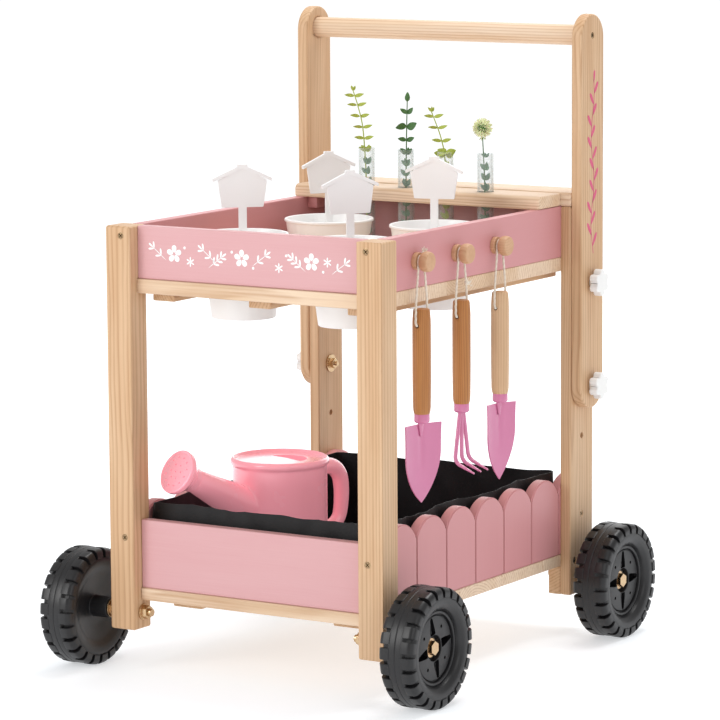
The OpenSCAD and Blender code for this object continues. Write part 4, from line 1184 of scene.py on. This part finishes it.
glass = tube_glass()
TUBE_Y, TUBE_LOW, TUBE_H, TUBE_R, TUBE_BORE = 150.5, 413.3, 110, 9, 7.8
TUBES = {"1": -75, "2": -25, "3": 25, "4": 75}
outer_arc = [(TUBE_R * math.sin(a), TUBE_R - TUBE_R * math.cos(a))
             for a in (math.pi / 2 * k / 8 for k in range(9))]
inner_arc = [(TUBE_BORE * math.sin(a), TUBE_R - TUBE_BORE * math.cos(a))
             for a in (math.pi / 2 * k / 8 for k in range(8, -1, -1))]
rim = [(TUBE_R, TUBE_H - 1.6), (TUBE_R + 0.35, TUBE_H - 0.7), (TUBE_R, TUBE_H),
       (TUBE_BORE, TUBE_H - 0.2), (TUBE_BORE, TUBE_H - 2)]
for number, x in TUBES.items():
    tube = turned("tube_glass_" + number, outer_arc + rim + inner_arc,
                  moved(x, TUBE_Y, TUBE_LOW), glass, 40, 60)
    mount(tube, "tube_" + number, "test_tube_" + number, slot="clear_glass")
print("glass tubes", len(TUBES))

# %% [markdown]
# ## Sprigs
# Stems are smooth curves. Each leaf is a small folded sheet; leaves of one sprig are copied
# onto marked points, each turned to its own direction.


# %% Sprigs
def leaf_green(name, fresh, deep):
    """Flecked green with faint veins that run up the leaf."""
    f = Finish(name)
    x, y, z = f.place()
    fleck = f.cloud(f.point(x, y, z), 0.4, 4, 0.6)
    vein = f.cloud(f.point(x * 0.9, y * 0.9, z * 0.12), 1.0, 2)
    f.set(Base_Color=f.blend(fleck * 0.7 + vein * 0.3, fresh, deep), Roughness=0.5 + fleck * 0.15,
          Subsurface_Weight=0.12, Subsurface_Radius=(0.001, 0.002, 0.0006))
    f.bump(fleck, 0.0002, 0.5)
    return f.material


lime = leaf_green("leaf_lime", rgb(192, 198, 88), rgb(134, 156, 58))
dark_green = leaf_green("leaf_dark", rgb(84, 128, 64), rgb(46, 88, 44))
blue_green = leaf_green("leaf_blue", rgb(118, 160, 128), rgb(66, 110, 88))
bloom_white = leaf_green("bloom_white", rgb(252, 252, 232), rgb(226, 230, 168))


def blade(name, length, width, fold=0.25, bend=0.2, point=0.8, stem=0.06):
    """A leaf growing along +Z from the origin, folded on its middle and bent back."""
    rows, bm, grid = 9, bmesh.new(), []
    for i in range(rows):
        t = i / (rows - 1)
        wide = width / 2 * (stem + math.sin(math.pi * min(1, t) ** point) ** 0.85)
        z, back = length * t, -bend * length * t * t
        grid.append([bm.verts.new((s * wide * mm, (back + fold * abs(s) * wide) * mm, z * mm))
                     for s in (-1, -0.5, 0, 0.5, 1)])
    banded(bm, grid, closed=False)
    bmesh.ops.solidify(bm, geom=bm.faces[:], thickness=0.3 * mm)
    return from_bmesh(name, bm)


def leaves(name, shape, spots, material):
    """Copies of one leaf at spots = [(place in mm, direction)]."""
    base = marks(name + "_marks", [(Vector(p) * mm, tuple(Vector(d).normalized()))
                                   for p, d in spots])
    made = grow(name, SPOTS, base, Piece=shape, Material=material)
    return smooth_by_angle(made, 60)


def around(place, tilt, count, start=0.0):
    """Directions spread about a point: tilt is the rise of each one."""
    return [(place, (math.cos(a), math.sin(a), tilt)) for a in turns(count, start)]


def at(x, z):
    """A place in the plane of the tubes."""
    return (x, TUBE_Y, z)


def pair(place, turn, tilt):
    """Two opposite directions about a point."""
    a = math.radians(turn)
    return [(place, (s * math.cos(a), s * math.sin(a), tilt)) for s in (-1, 1)]


narrow = blade("narrow_leaf", 11, 4.4, fold=0.12, bend=0.12)
oval = blade("oval_leaf", 9.5, 5.6, fold=0.15, bend=0.15)
broad = blade("broad_leaf", 12, 9, fold=0.15, bend=0.35)
tiny = blade("tiny_leaf", 6, 3.2)
bud = turned("bud", eased([(0, 0, 0), (2.6, 2.2), (3.0, 5.2), (1.4, 9.6), (0, 11, 0)], 1.2,
                          closed=False), segments=14)
floret = blade("floret", 5.8, 1.5, fold=0.2, bend=0.1, stem=0.3)
inside = {n: [p for k in range(8) for p in around(at(x, 428 + 11 * k), 1.5, 3, k * 0.9 + x)]
          for n, x in TUBES.items()}
stems = {"1": [at(-75, 421), at(-75.6, 470), at(-76.6, 505), at(-80, 545), at(-86, 568), at(-93, 587)],
         "2": [at(-25, 421), at(-25, 480), at(-24, 540), at(-23, 576)],
         "3": [at(25, 421), at(25, 505), at(20, 536), at(7, 567)],
         "4": [at(75, 421), at(74, 490), at(71.5, 541)]}
sprigs = {}
for n, path in stems.items():
    curve = smooth_path([Vector(p) * mm for p in path], 8)
    thick = [0.95 - 0.4 * k / len(curve) for k in range(len(curve))]
    sprigs[n] = [swept("stem", curve, thick, lime if n in "13" else dark_green, 8),
                 leaves("inner", oval, inside[n], blue_green if n != "3" else lime)]
sprigs["1"] += [
    leaves("pairs", narrow, [s for k, p in enumerate(
        (at(-78.4, 533), at(-80, 545), at(-83.5, 557), at(-87.4, 569), at(-90.6, 579)))
        for s in pair(p, 25 + 12 * (k % 2), 0.18)], lime),
    leaves("tip", tiny, around(at(-92.4, 585), 1.6, 3, 0.5), lime),
    leaves("mouth", oval, around(at(-76.6, 519), 0.8, 5, 0.2), lime)]
sprigs["2"] += [
    leaves("tip", bud, [(at(-23, 575), (0.05, 0, 1))], dark_green),
    leaves("pairs", oval, pair(at(-23.4, 562), 30, 0.9) + pair(at(-24.4, 533), 25, 0.3), dark_green),
    leaves("side", broad, [(at(-24, 547), (0.8, 0.5, 0.25)), (at(-24, 548), (-0.8, -0.5, 0.1))],
           dark_green),
    leaves("mouth", oval, around(at(-25, 518), 0.8, 5, 0.4), dark_green)]
sprigs["3"] += [
    leaves("tip", tiny, around(at(7.6, 565.6), 1.4, 4, 0.3), lime),
    leaves("pairs", narrow, pair(at(10.5, 560), 30, 0.2) + pair(at(15.5, 548), 38, 0.2)
           + pair(at(20.4, 534), 25, 0.2), lime),
    leaves("mouth", broad, around(at(25, 521), 0.15, 3, 0.5) + pair(at(25, 519), 10, 0.3), lime)]
FLORETS, BLOOM, BLOOM_R = 170, at(71.5, 550.5), 5.4
globe, golden = [], math.pi * (3 - math.sqrt(5))
for k in range(FLORETS):
    rise = 1 - 2 * (k + 0.5) / FLORETS
    wide = math.sqrt(1 - rise * rise)
    way = Vector((wide * math.cos(golden * k), wide * math.sin(golden * k), rise))
    globe.append((Vector(BLOOM) + way * BLOOM_R, way + Vector((0, 0, 0.25 * math.sin(7 * k)))))
sprigs["4"] += [
    leaves("florets", floret, globe, bloom_white),
    turned("core", [(0, -6.2), (4.4, -4.4), (6.2, 0), (4.4, 4.4), (0, 6.2)],
           moved(*BLOOM), dark_green, 16),
    leaves("threads", blade("thread", 5.5, 0.9), around(at(71.5, 541), -0.8, 9), lime),
    leaves("mouth", tiny, around(at(75, 519), 0.9, 5, 0.9), blue_green)]
for n, parts in sprigs.items():
    sprig = mount(joined("sprig_shape_" + n, parts), "tube_" + n, "sprig_" + n, slot="leaf_green")
    print("sprig", n, len(sprig.data.polygons), "faces")
for shape in (narrow, oval, broad, tiny, bud, floret, bpy.data.objects["thread"]):
    bpy.data.objects.remove(shape)

# %% [markdown]
# ## Fabric liner
# The liner is one piece of black felted cloth pressed into the tray. Its walls are drawn as a
# loop of columns that lean inwards in soft folds, more so towards the free top edge, and the
# edge itself rises and falls. The bottom lies flat where the can stands.


# %% Fabric liner
def liner_cloth():
    """Black felt: fine pits, fibres and rubbed patches."""
    f = Finish("liner_cloth")
    x, y, z = f.place()
    here = f.point(x, y, z)
    pits = f.node("ShaderNodeTexVoronoi", None, {"Vector": here, "Scale": 0.55}, out="Distance")
    fibre = f.cloud(here, 1.3, 3, 0.7)
    rubbed = f.cloud(f.point(x * 0.02, y * 0.02, z * 0.03), 1.0, 3)
    f.set(Base_Color=f.blend(fibre * 0.6 + rubbed * 0.4, rgb(6, 5, 7), rgb(19, 17, 19)),
          Roughness=0.55 + (fibre - 0.5) * 0.2 + (rubbed - 0.5) * 0.25, Sheen_Weight=0.04,
          Specular_IOR_Level=0.35)
    f.bump(pits * 0.7 + fibre * 0.3, 0.0003, 0.6)
    return f.material


LINER_X, LINER_Y0, LINER_Y1, LINER_LOW, LINER_TOP, LINER_T = 141.4, -182.9, 191.9, 88.5, 178.5, 0.8
CORNER, COLUMNS, ROWS, FLOOR_RINGS = 9, 260, 14, 16
CAN_X, CAN_Y, CAN_CLEAR, CAN_FADE = -72.0, -34.0, 56, 20  # the cloth is flat under the can
x0, x1, y0, y1 = -LINER_X, LINER_X, LINER_Y0, LINER_Y1
loop = []
for cx, cy, start in ((x1 - CORNER, y0 + CORNER, -90), (x1 - CORNER, y1 - CORNER, 0),
                      (x0 + CORNER, y1 - CORNER, 90), (x0 + CORNER, y0 + CORNER, 180)):
    loop += [Vector((cx + CORNER * math.cos(a), cy + CORNER * math.sin(a)))
             for a in (math.radians(start + 90 * k / 6) for k in range(7))]
lengths = [0.0]
for a, b in zip(loop, loop[1:] + loop[:1]):
    lengths.append(lengths[-1] + (b - a).length)


def on_loop(share):
    """The place on the liner's outline and the way inwards there."""
    at = share % 1 * lengths[-1]
    k = max(i for i, far in enumerate(lengths[:-1]) if far <= at)
    a, b = loop[k], loop[(k + 1) % len(loop)]
    along = (b - a).normalized()
    return a + along * (at - lengths[k]), Vector((-along.y, along.x))


def fold(share, seed, waves):
    """Smooth noise round the loop, from -1 to 1."""
    a = share * 2 * math.pi
    return noise.noise(Vector((math.cos(a) * waves, math.sin(a) * waves, seed)))


bm = bmesh.new()
grid = []
for j in range(ROWS + 1):
    v = j / ROWS
    ring = []
    for i in range(COLUMNS):
        s = i / COLUMNS
        place, inward = on_loop(s)
        crease = abs(fold(s, 3.0 + v * 0.7, 7)) ** 0.7
        lean = v ** 1.6 * (1.0 + 3.2 * (0.5 + fold(s, 1.0, 2.2))) + v * 3.4 * (0.8 - crease)
        lean = max(0.0, lean) + 2.2 * max(0.0, fold(s, 8.0 + v * 3, 11)) * v
        high = LINER_TOP - 1.0 + 2.6 * fold(s, 5.0, 3.5) - 1.2 * crease - 1.2
        place = place + inward * lean
        ring.append(bm.verts.new((place.x * mm, place.y * mm, (LINER_LOW + (high - LINER_LOW) * v)
                                  * mm)))
    grid.append(ring)
for k in range(1, FLOOR_RINGS):
    ring = []
    for i in range(COLUMNS):
        place, _ = on_loop(i / COLUMNS)
        place = place * (1 - k / FLOOR_RINGS)
        rise = 1.6 * (0.5 + noise.noise(Vector((place.x * 0.03, place.y * 0.03, 4.0))))
        rise += 1.5 * (1 - abs(noise.noise(Vector((place.x * 0.012, place.y * 0.02, 9.0))))) ** 9
        away = (place - Vector((CAN_X, CAN_Y))).length
        rise *= min(1.0, max(0.0, (away - CAN_CLEAR) / CAN_FADE)) * min(1.0, k / 2)
        ring.append(bm.verts.new((place.x * mm, place.y * mm, (LINER_LOW + max(0, rise)) * mm)))
    grid.insert(0, ring)
banded(bm, grid)
bm.faces.new(grid[0])
bmesh.ops.recalc_face_normals(bm, faces=bm.faces)
liner = thickened(as_object("liner_cloth_shape", bm), LINER_T)
liner.data.materials.append(liner_cloth())
smooth_by_angle(liner, 60)
mount(liner, "liner", "tray_liner", slot="black_fabric")
print("liner", len(liner.data.polygons), "faces")

# %% [markdown]
# ## Watering can
# The can is blow-moulded, so its spout and handle run into the body with soft fillets. The
# solid parts are joined and remeshed as one skin, which is then smoothed. The lid is set a
# little below its rim and has a half-round mouth beside the handle.

# %% Watering can
CAN_TURN, CAN_FOOT, CAN_TOP = 252, 90.1, 208.1
SPOUT_Z, SPOUT_TILT, SPOUT_LEN = 133.66, 62, 132.2
in_can = moved(CAN_X, CAN_Y, 0) @ spun(CAN_TURN, "Z")
can_outline = eased(
    [(0, CAN_FOOT + 2, 0), (44, CAN_FOOT + 2), (46, CAN_FOOT, 1), (49, CAN_FOOT, 2.5), (50.5, 100),
     (50.5, 199.6, 0.8), (52.7, 201, 1.2), (53, 205.4, 2.4), (50.6, CAN_TOP, 1.4), (49.3, CAN_TOP, 0.8),
     (47.6, 204.4, 1.0), (40, 204.2), (0, 205.6, 0)], 3, steps=4)
body = turned("can_body", can_outline, segments=96)
spout = turned("can_spout", eased([(0, 20, 0), (23, 20), (20.6, 56), (13.2, SPOUT_LEN - 5),
                                   (12.4, SPOUT_LEN, 0.6), (0, SPOUT_LEN, 0)], 4, closed=False),
               moved(0, 0, SPOUT_Z) @ spun(SPOUT_TILT, "Y"), segments=48)
grip_path = smooth_path([(-40, 0, 190.4), (-56, 0, 191), (-72, 0, 188.6), (-82, 0, 179), (-85, 0, 164),
                         (-84.4, 0, 146), (-81, 0, 132.4), (-72, 0, 124.6), (-58, 0, 123),
                         (-42, 0, 123)], 6)
GRIP_THICK, GRIP_THIN, GRIP_WIDE = 9.4, 1.6, 1.25
narrowing = [min(1, k / len(grip_path) * 1.6) for k in range(len(grip_path))]
loop_grip = swept("can_grip", [p * mm for p in grip_path],
                  [GRIP_THICK - GRIP_THIN * share for share in narrowing], sides=24,
                  side=(0, 1, 0), flat=[GRIP_WIDE - 0.25 * share for share in narrowing])
can = joined("can", [body, spout, loop_grip])
VOXEL = 1.0 * mm
skin = can.modifiers.new("skin", "REMESH")
skin.mode, skin.voxel_size = "VOXEL", VOXEL
smooth = can.modifiers.new("smooth", "SMOOTH")
smooth.factor, smooth.iterations = 0.5, 5
settled(can)
MOUTH_EDGE, MOUTH_R, MOUTH_DEEP = -8, 23, 34
half_round = [(MOUTH_EDGE, -MOUTH_R), (MOUTH_EDGE, MOUTH_R)] + [
    (MOUTH_EDGE - MOUTH_R * math.cos(a), MOUTH_R * math.sin(a))
    for a in (math.radians(84 - 168 * k / 24) for k in range(25))]
carved(can, slab("mouth", eased(half_round, 1.5), MOUTH_DEEP, moved(0, 0, 208) @ spun(90, "X")))
can_piece = placed_copy(can, "can_skin", in_can, can_pink, 50)
bpy.data.objects.remove(can)
mount(can_piece, "can", "watering_can", slot="pink_plastic")
print("can", len(can_piece.data.polygons), "faces")

# %% [markdown]
# ## Rose of the can
# The rose is a flared cone with a collar and a slightly domed face pierced by small holes.

# %% Rose of the can
rose_outline = eased(
    [(0, 1, 0), (11, 1, 0.4), (11.2, 0, 0.3), (13.6, 0, 0.5), (13.9, 6.6, 1.0), (16, 9.6), (22.6, 17.8),
     (24, 19.6, 1.2), (24, 24.6, 1.0), (22.6, 25.6, 0.7), (21.6, 24.2, 0.6), (12, 25.6), (0, 26, 0)],
    2, steps=4)
rose = turned("rose_shape", rose_outline, None, can_pink, 96)
pin = turned("pin", [(0, -2.5), (0.95, -2.5), (0.95, 4), (0, 4)], segments=12)
HOLE_RINGS = ((8, 6), (16, 12))  # radius in mm and number of holes
holes = [(0.0, 0.0)] + [(r * math.cos(a), r * math.sin(a)) for r, n in HOLE_RINGS
                        for a in (2 * math.pi * (k + 0.5) / n for k in range(n))]
pins = grow("pins", SPOTS, marks("pin_marks", [((x * mm, y * mm, 25 * mm), (0, 0, 1))
                                               for x, y in holes]), Piece=pin, Material=can_pink)
bpy.data.objects.remove(pin)
carved(rose, pins)
place = in_can @ moved(0, 0, SPOUT_Z) @ spun(SPOUT_TILT, "Y") @ moved(0, 0, SPOUT_LEN + 0.3)
rose_piece = placed_copy(rose, "rose_skin", place, can_pink, 35)
bpy.data.objects.remove(rose)
mount(rose_piece, "rose", "can_rose", slot="pink_plastic")
print("rose", len(rose_piece.data.polygons), "faces,", len(holes), "holes")

# %% [markdown]
# ## Hanging tools
# Each grip is turned wood with a drilled hole. The trowels are pressed sheet: a grid with a
# scooped section and a rib under the neck. The rake has three bent tines.

# %% Hanging tools
TOOL_X, PEG_YS, PEG_Z = 161.5, (-128, -48.5, 31), 440.5
GRIP_LOW, GRIP_TOP, HOLE_Z, GRIP_R = 284.5, 392.5, 375.5, 9.5
BLADE_TOP, BLADE_TIP, BLADE_TURN, BLADE_FULL, BLADE_T = 274.5, 193.5, -14, 0.65, 1.4
oiled = dict(colours=(rgb(196, 138, 82), rgb(178, 116, 62), rgb(128, 74, 34)), ring=2.2, rough=0.4)
grip_woods = [wood("oiled_wood_one", Z, (120, -170), **oiled),
              wood("oiled_wood_two", Z, (128, -70), **oiled),
              wood("pine_grip", Z, (120, 10), ring=2.6, contrast=0.8)]
BODIES = ("wide_trowel", "rake", "narrow_trowel")
for body, y, grain in zip(BODIES, PEG_YS, grip_woods):
    shape = eased([(0, GRIP_LOW, 0), (7.8, GRIP_LOW, 0.8), (9.1, GRIP_LOW + 5, 4), (GRIP_R, 318, 20),
                   (GRIP_R, 380, 6), (8.6, GRIP_TOP - 1.6, 1.4), (7.4, GRIP_TOP, 0.8),
                   (0, GRIP_TOP, 0)], 1, closed=False)
    grip = turned(body + "_grip_shape", shape, moved(TOOL_X, y, 0), grain, 48)
    carved(grip, turned("drill", [(0, -14), (2.2, -14), (2.2, 14), (0, 14)],
                        moved(TOOL_X, y, HOLE_Z) @ spun(90, "X"), segments=24))
    mount(grip, body, body + "_grip", slot="pine" if body == "narrow_trowel" else "oiled_wood")
    print(body, "grip", len(grip.data.polygons), "faces")


def ferrule(y):
    """The metal cap at the low end of a grip."""
    return turned("ferrule", eased([(0, GRIP_LOW + 1, 0), (7.9, GRIP_LOW + 1, 0.6),
                                    (8.1, BLADE_TOP + 3, 0.9), (6.4, BLADE_TOP + 1.4, 0.6),
                                    (0, BLADE_TOP + 1.4, 0)], 0.5, closed=False),
                  moved(TOOL_X, y, 0), enamel_pink, 40)


def pressed_blade(y, width):
    """A scooped, pointed sheet with a rib running down from its neck."""
    length = BLADE_TOP - BLADE_TIP
    wide_at = length * BLADE_FULL
    arc = (wide_at ** 2 + (width / 2) ** 2) / width
    rows, columns, bm, grid = 40, 24, bmesh.new(), []
    for i in range(rows + 1):
        up = length * (i / rows) ** 1.15
        low = max(0.0, wide_at - up)
        half = width / 2 - arc + math.sqrt(arc * arc - low * low)
        half = max(0.25, half) + 0.8 * max(0.0, (up - wide_at) / (length - wide_at)) ** 2
        row = []
        for k in range(columns + 1):
            s = 2 * k / columns - 1
            across = s * half
            scoop = 3.4 * (across / (width / 2)) ** 2 * (0.35 + 0.65 * min(1, up / wide_at))
            rib = 2.2 * math.exp(-(across / 3.4) ** 2) * max(0.0, up / length - 0.38) ** 0.7
            row.append(bm.verts.new(((scoop - rib - 1.5) * mm, across * mm,
                                     (BLADE_TIP + up) * mm)))
        grid.append(row)
    banded(bm, grid, closed=False)
    bmesh.ops.recalc_face_normals(bm, faces=bm.faces)
    sheet = thickened(as_object("sheet", bm), BLADE_T)
    blade_at = moved(TOOL_X, y, 0) @ spun(BLADE_TURN, "Z")
    pressed = placed_copy(sheet, "pressed_sheet", blade_at, enamel_pink, 50)
    bpy.data.objects.remove(sheet)
    return pressed


def neck(y):
    """The flattened tang between the ferrule and a blade."""
    return swept("neck", [Vector((TOOL_X - 1, y, z)) * mm for z in (280, 272, 262)], [5.4, 4.6, 1.6],
                 enamel_pink, 20, side=(1, 0, 0), flat=0.5)


for body, y, width in (("wide_trowel", PEG_YS[0], 50), ("narrow_trowel", PEG_YS[2], 41)):
    piece = joined(body + "_metal", [ferrule(y), pressed_blade(y, width), neck(y)])
    mount(piece, body, body + "_blade", slot="pink_metal")
    print(body, "metal", len(piece.data.polygons), "faces")
TINE_ROOT, TINE_STEP, TINE_DROP, TINE_REACH, TINE_DIP, TINE_BEND = 3, 14, 50, 23, 10, 7
parts = [ferrule(PEG_YS[1])]
for k in (-1, 0, 1):
    bend = Vector((TOOL_X, PEG_YS[1] + k * TINE_STEP, BLADE_TOP + 1 - TINE_DROP))
    root = Vector((TOOL_X, PEG_YS[1] + k * TINE_ROOT, BLADE_TOP + 4))
    tip = bend + Vector((TINE_REACH, 0, -TINE_DIP))
    before = bend + (root - bend).normalized() * TINE_BEND
    after = bend + (tip - bend).normalized() * TINE_BEND
    curve = [root.lerp(before, t / 6) for t in range(6)]
    curve += bent(before, bend, after, 8)
    curve += [after.lerp(tip, t / 5) for t in range(1, 6)]
    sizes = [2.0] * 15 + [2.0 - 0.22 * t for t in range(1, 6)]
    parts.append(swept("tine", [p * mm for p in curve], sizes, enamel_pink, 14,
                       side=(0, 1, 0), flat=1.15))
rake = mount(joined("rake_metal", parts), "rake", "rake_tines", slot="pink_metal")
print("rake", len(rake.data.polygons), "faces")

# %% [markdown]
# ## Hanging cords
# Each tool hangs on a twisted cotton cord that goes through its grip and over the peg. The
# rope section has three lobes that turn along the path. A frayed knot closes each loop.


# %% Hanging cords
def cotton():
    """Off-white cotton with fine threads."""
    f = Finish("cotton")
    x, y, z = f.place()
    thread = f.cloud(f.point(x * 2.2, y * 2.2, z * 0.7), 1.0, 3, 0.7)
    f.set(Base_Color=f.blend(thread, rgb(246, 238, 226), rgb(206, 190, 168)), Roughness=0.85,
          Sheen_Weight=0.3)
    f.bump(thread, 0.00025, 0.6)
    return f.material


white_cotton = cotton()
CORD_R, LOOP_R, RUN_Y, ENTRY_R, PITCH = 1.3, 5.9, 11.4, 5.2, 6.0
STRANDS, ROPE_SIDES = 3, 18


def rope(name, path):
    """A three-strand rope along points in metres."""
    bm, rings, turn, last = bmesh.new(), [], 0.0, path[0]
    guide = Vector((1, 0, 0))
    for i, point in enumerate(path):
        ahead = (path[min(i + 1, len(path) - 1)] - path[max(i - 1, 0)]).normalized()
        across = (guide - ahead * guide.dot(ahead)).normalized()
        third = ahead.cross(across)
        turn += (point - last).length / (PITCH * mm) * 2 * math.pi / STRANDS
        last = point
        ring = []
        for a in turns(ROPE_SIDES):
            r = CORD_R * (0.86 + 0.14 * math.cos(STRANDS * (a - turn))) * mm
            ring.append(bm.verts.new(point + (across * math.cos(a) + third * math.sin(a)) * r))
        rings.append(ring)
    banded(bm, rings, ends=True)
    return from_bmesh(name, bm, None, white_cotton, 75)


def hanging_path(y):
    """From the grip's hole up, over the peg and down to the hole again, in metres."""
    half = [(RUN_Y - ENTRY_R + ENTRY_R * math.cos(a), HOLE_Z + 4.5 - ENTRY_R * math.sin(a))
            for a in (math.radians(60 - 60 * k / 6) for k in range(7))]
    half += rise_to_peg()
    over = [(LOOP_R * math.cos(a), PEG_Z + LOOP_R * math.sin(a))
            for a in (math.radians(180 * k / 24) for k in range(1, 24))]
    points = half + over + [(-a, z) for a, z in reversed(half)]
    dense = []
    for (a, b), (c, d) in zip(points, points[1:]):
        n = max(1, round(math.hypot(c - a, d - b) / 0.7))
        dense += [(a + (c - a) * k / n, b + (d - b) * k / n) for k in range(n)]
    dense.append(points[-1])
    return [Vector((TOOL_X, y + a, z)) * mm for a, z in dense]


def rise_to_peg():
    """The straight rise from the grip to the peg with an eased bend at the grip's top."""
    knots = [(RUN_Y, HOLE_Z + 4.5), (RUN_Y, GRIP_TOP - 8), (RUN_Y - 0.3, GRIP_TOP),
             (LOOP_R + 3.4, GRIP_TOP + 18), (LOOP_R + 0.8, PEG_Z - 12), (LOOP_R, PEG_Z)]
    curve = smooth_path([Vector((a, 0, z)) for a, z in knots], 5)
    return [(p.x, p.z) for p in curve[1:]]


def knot(name, place, up, seed):
    """A tight ball with a short frayed end."""
    chance = random.Random(seed)
    up = Vector(up).normalized()
    ball = turned("ball", eased([(0, -2.3, 0), (2.2, -1.9), (2.6, 0), (2.2, 1.9), (0, 2.3, 0)], 1.0,
                                closed=False), moved(*place), white_cotton, 16)
    threads = []
    for _ in range(12):
        way = (up * 1.6 + Vector([chance.uniform(-1, 1) for _ in range(3)])).normalized()
        start = Vector(place)
        tip = start + way * chance.uniform(4.5, 7.5)
        middle = (start + tip) / 2 + Vector([chance.uniform(-0.8, 0.8) for _ in range(3)])
        threads.append(swept("thread", [start * mm, middle * mm, tip * mm], [0.5, 0.45, 0.2],
                             white_cotton, 6))
    return joined(name, [ball] + threads)


KNOTS = {"wide_trowel": ((TOOL_X, PEG_YS[0] + 4.6, PEG_Z + 7.4), (0, 0.4, 1)),
         "rake": ((TOOL_X + 0.6, PEG_YS[1] + 9.6, 409), (0.3, 1, 0.3)),
         "narrow_trowel": ((TOOL_X - 0.6, PEG_YS[2] + 7.4, PEG_Z - 1.0), (-0.2, 1, -0.2))}
for seed, (body, y) in enumerate(zip(BODIES, PEG_YS)):
    path = hanging_path(y)
    cord = rope(body + "_rope", path)
    tie = knot(body + "_knot", *KNOTS[body], seed)
    mount(cord, body, body + "_cord", slot="white_cord")
    mount(tie, body, slot="white_cord")
    length = sum((b - a).length for a, b in zip(path, path[1:]))
    print(body, "cord", round(length, 4))
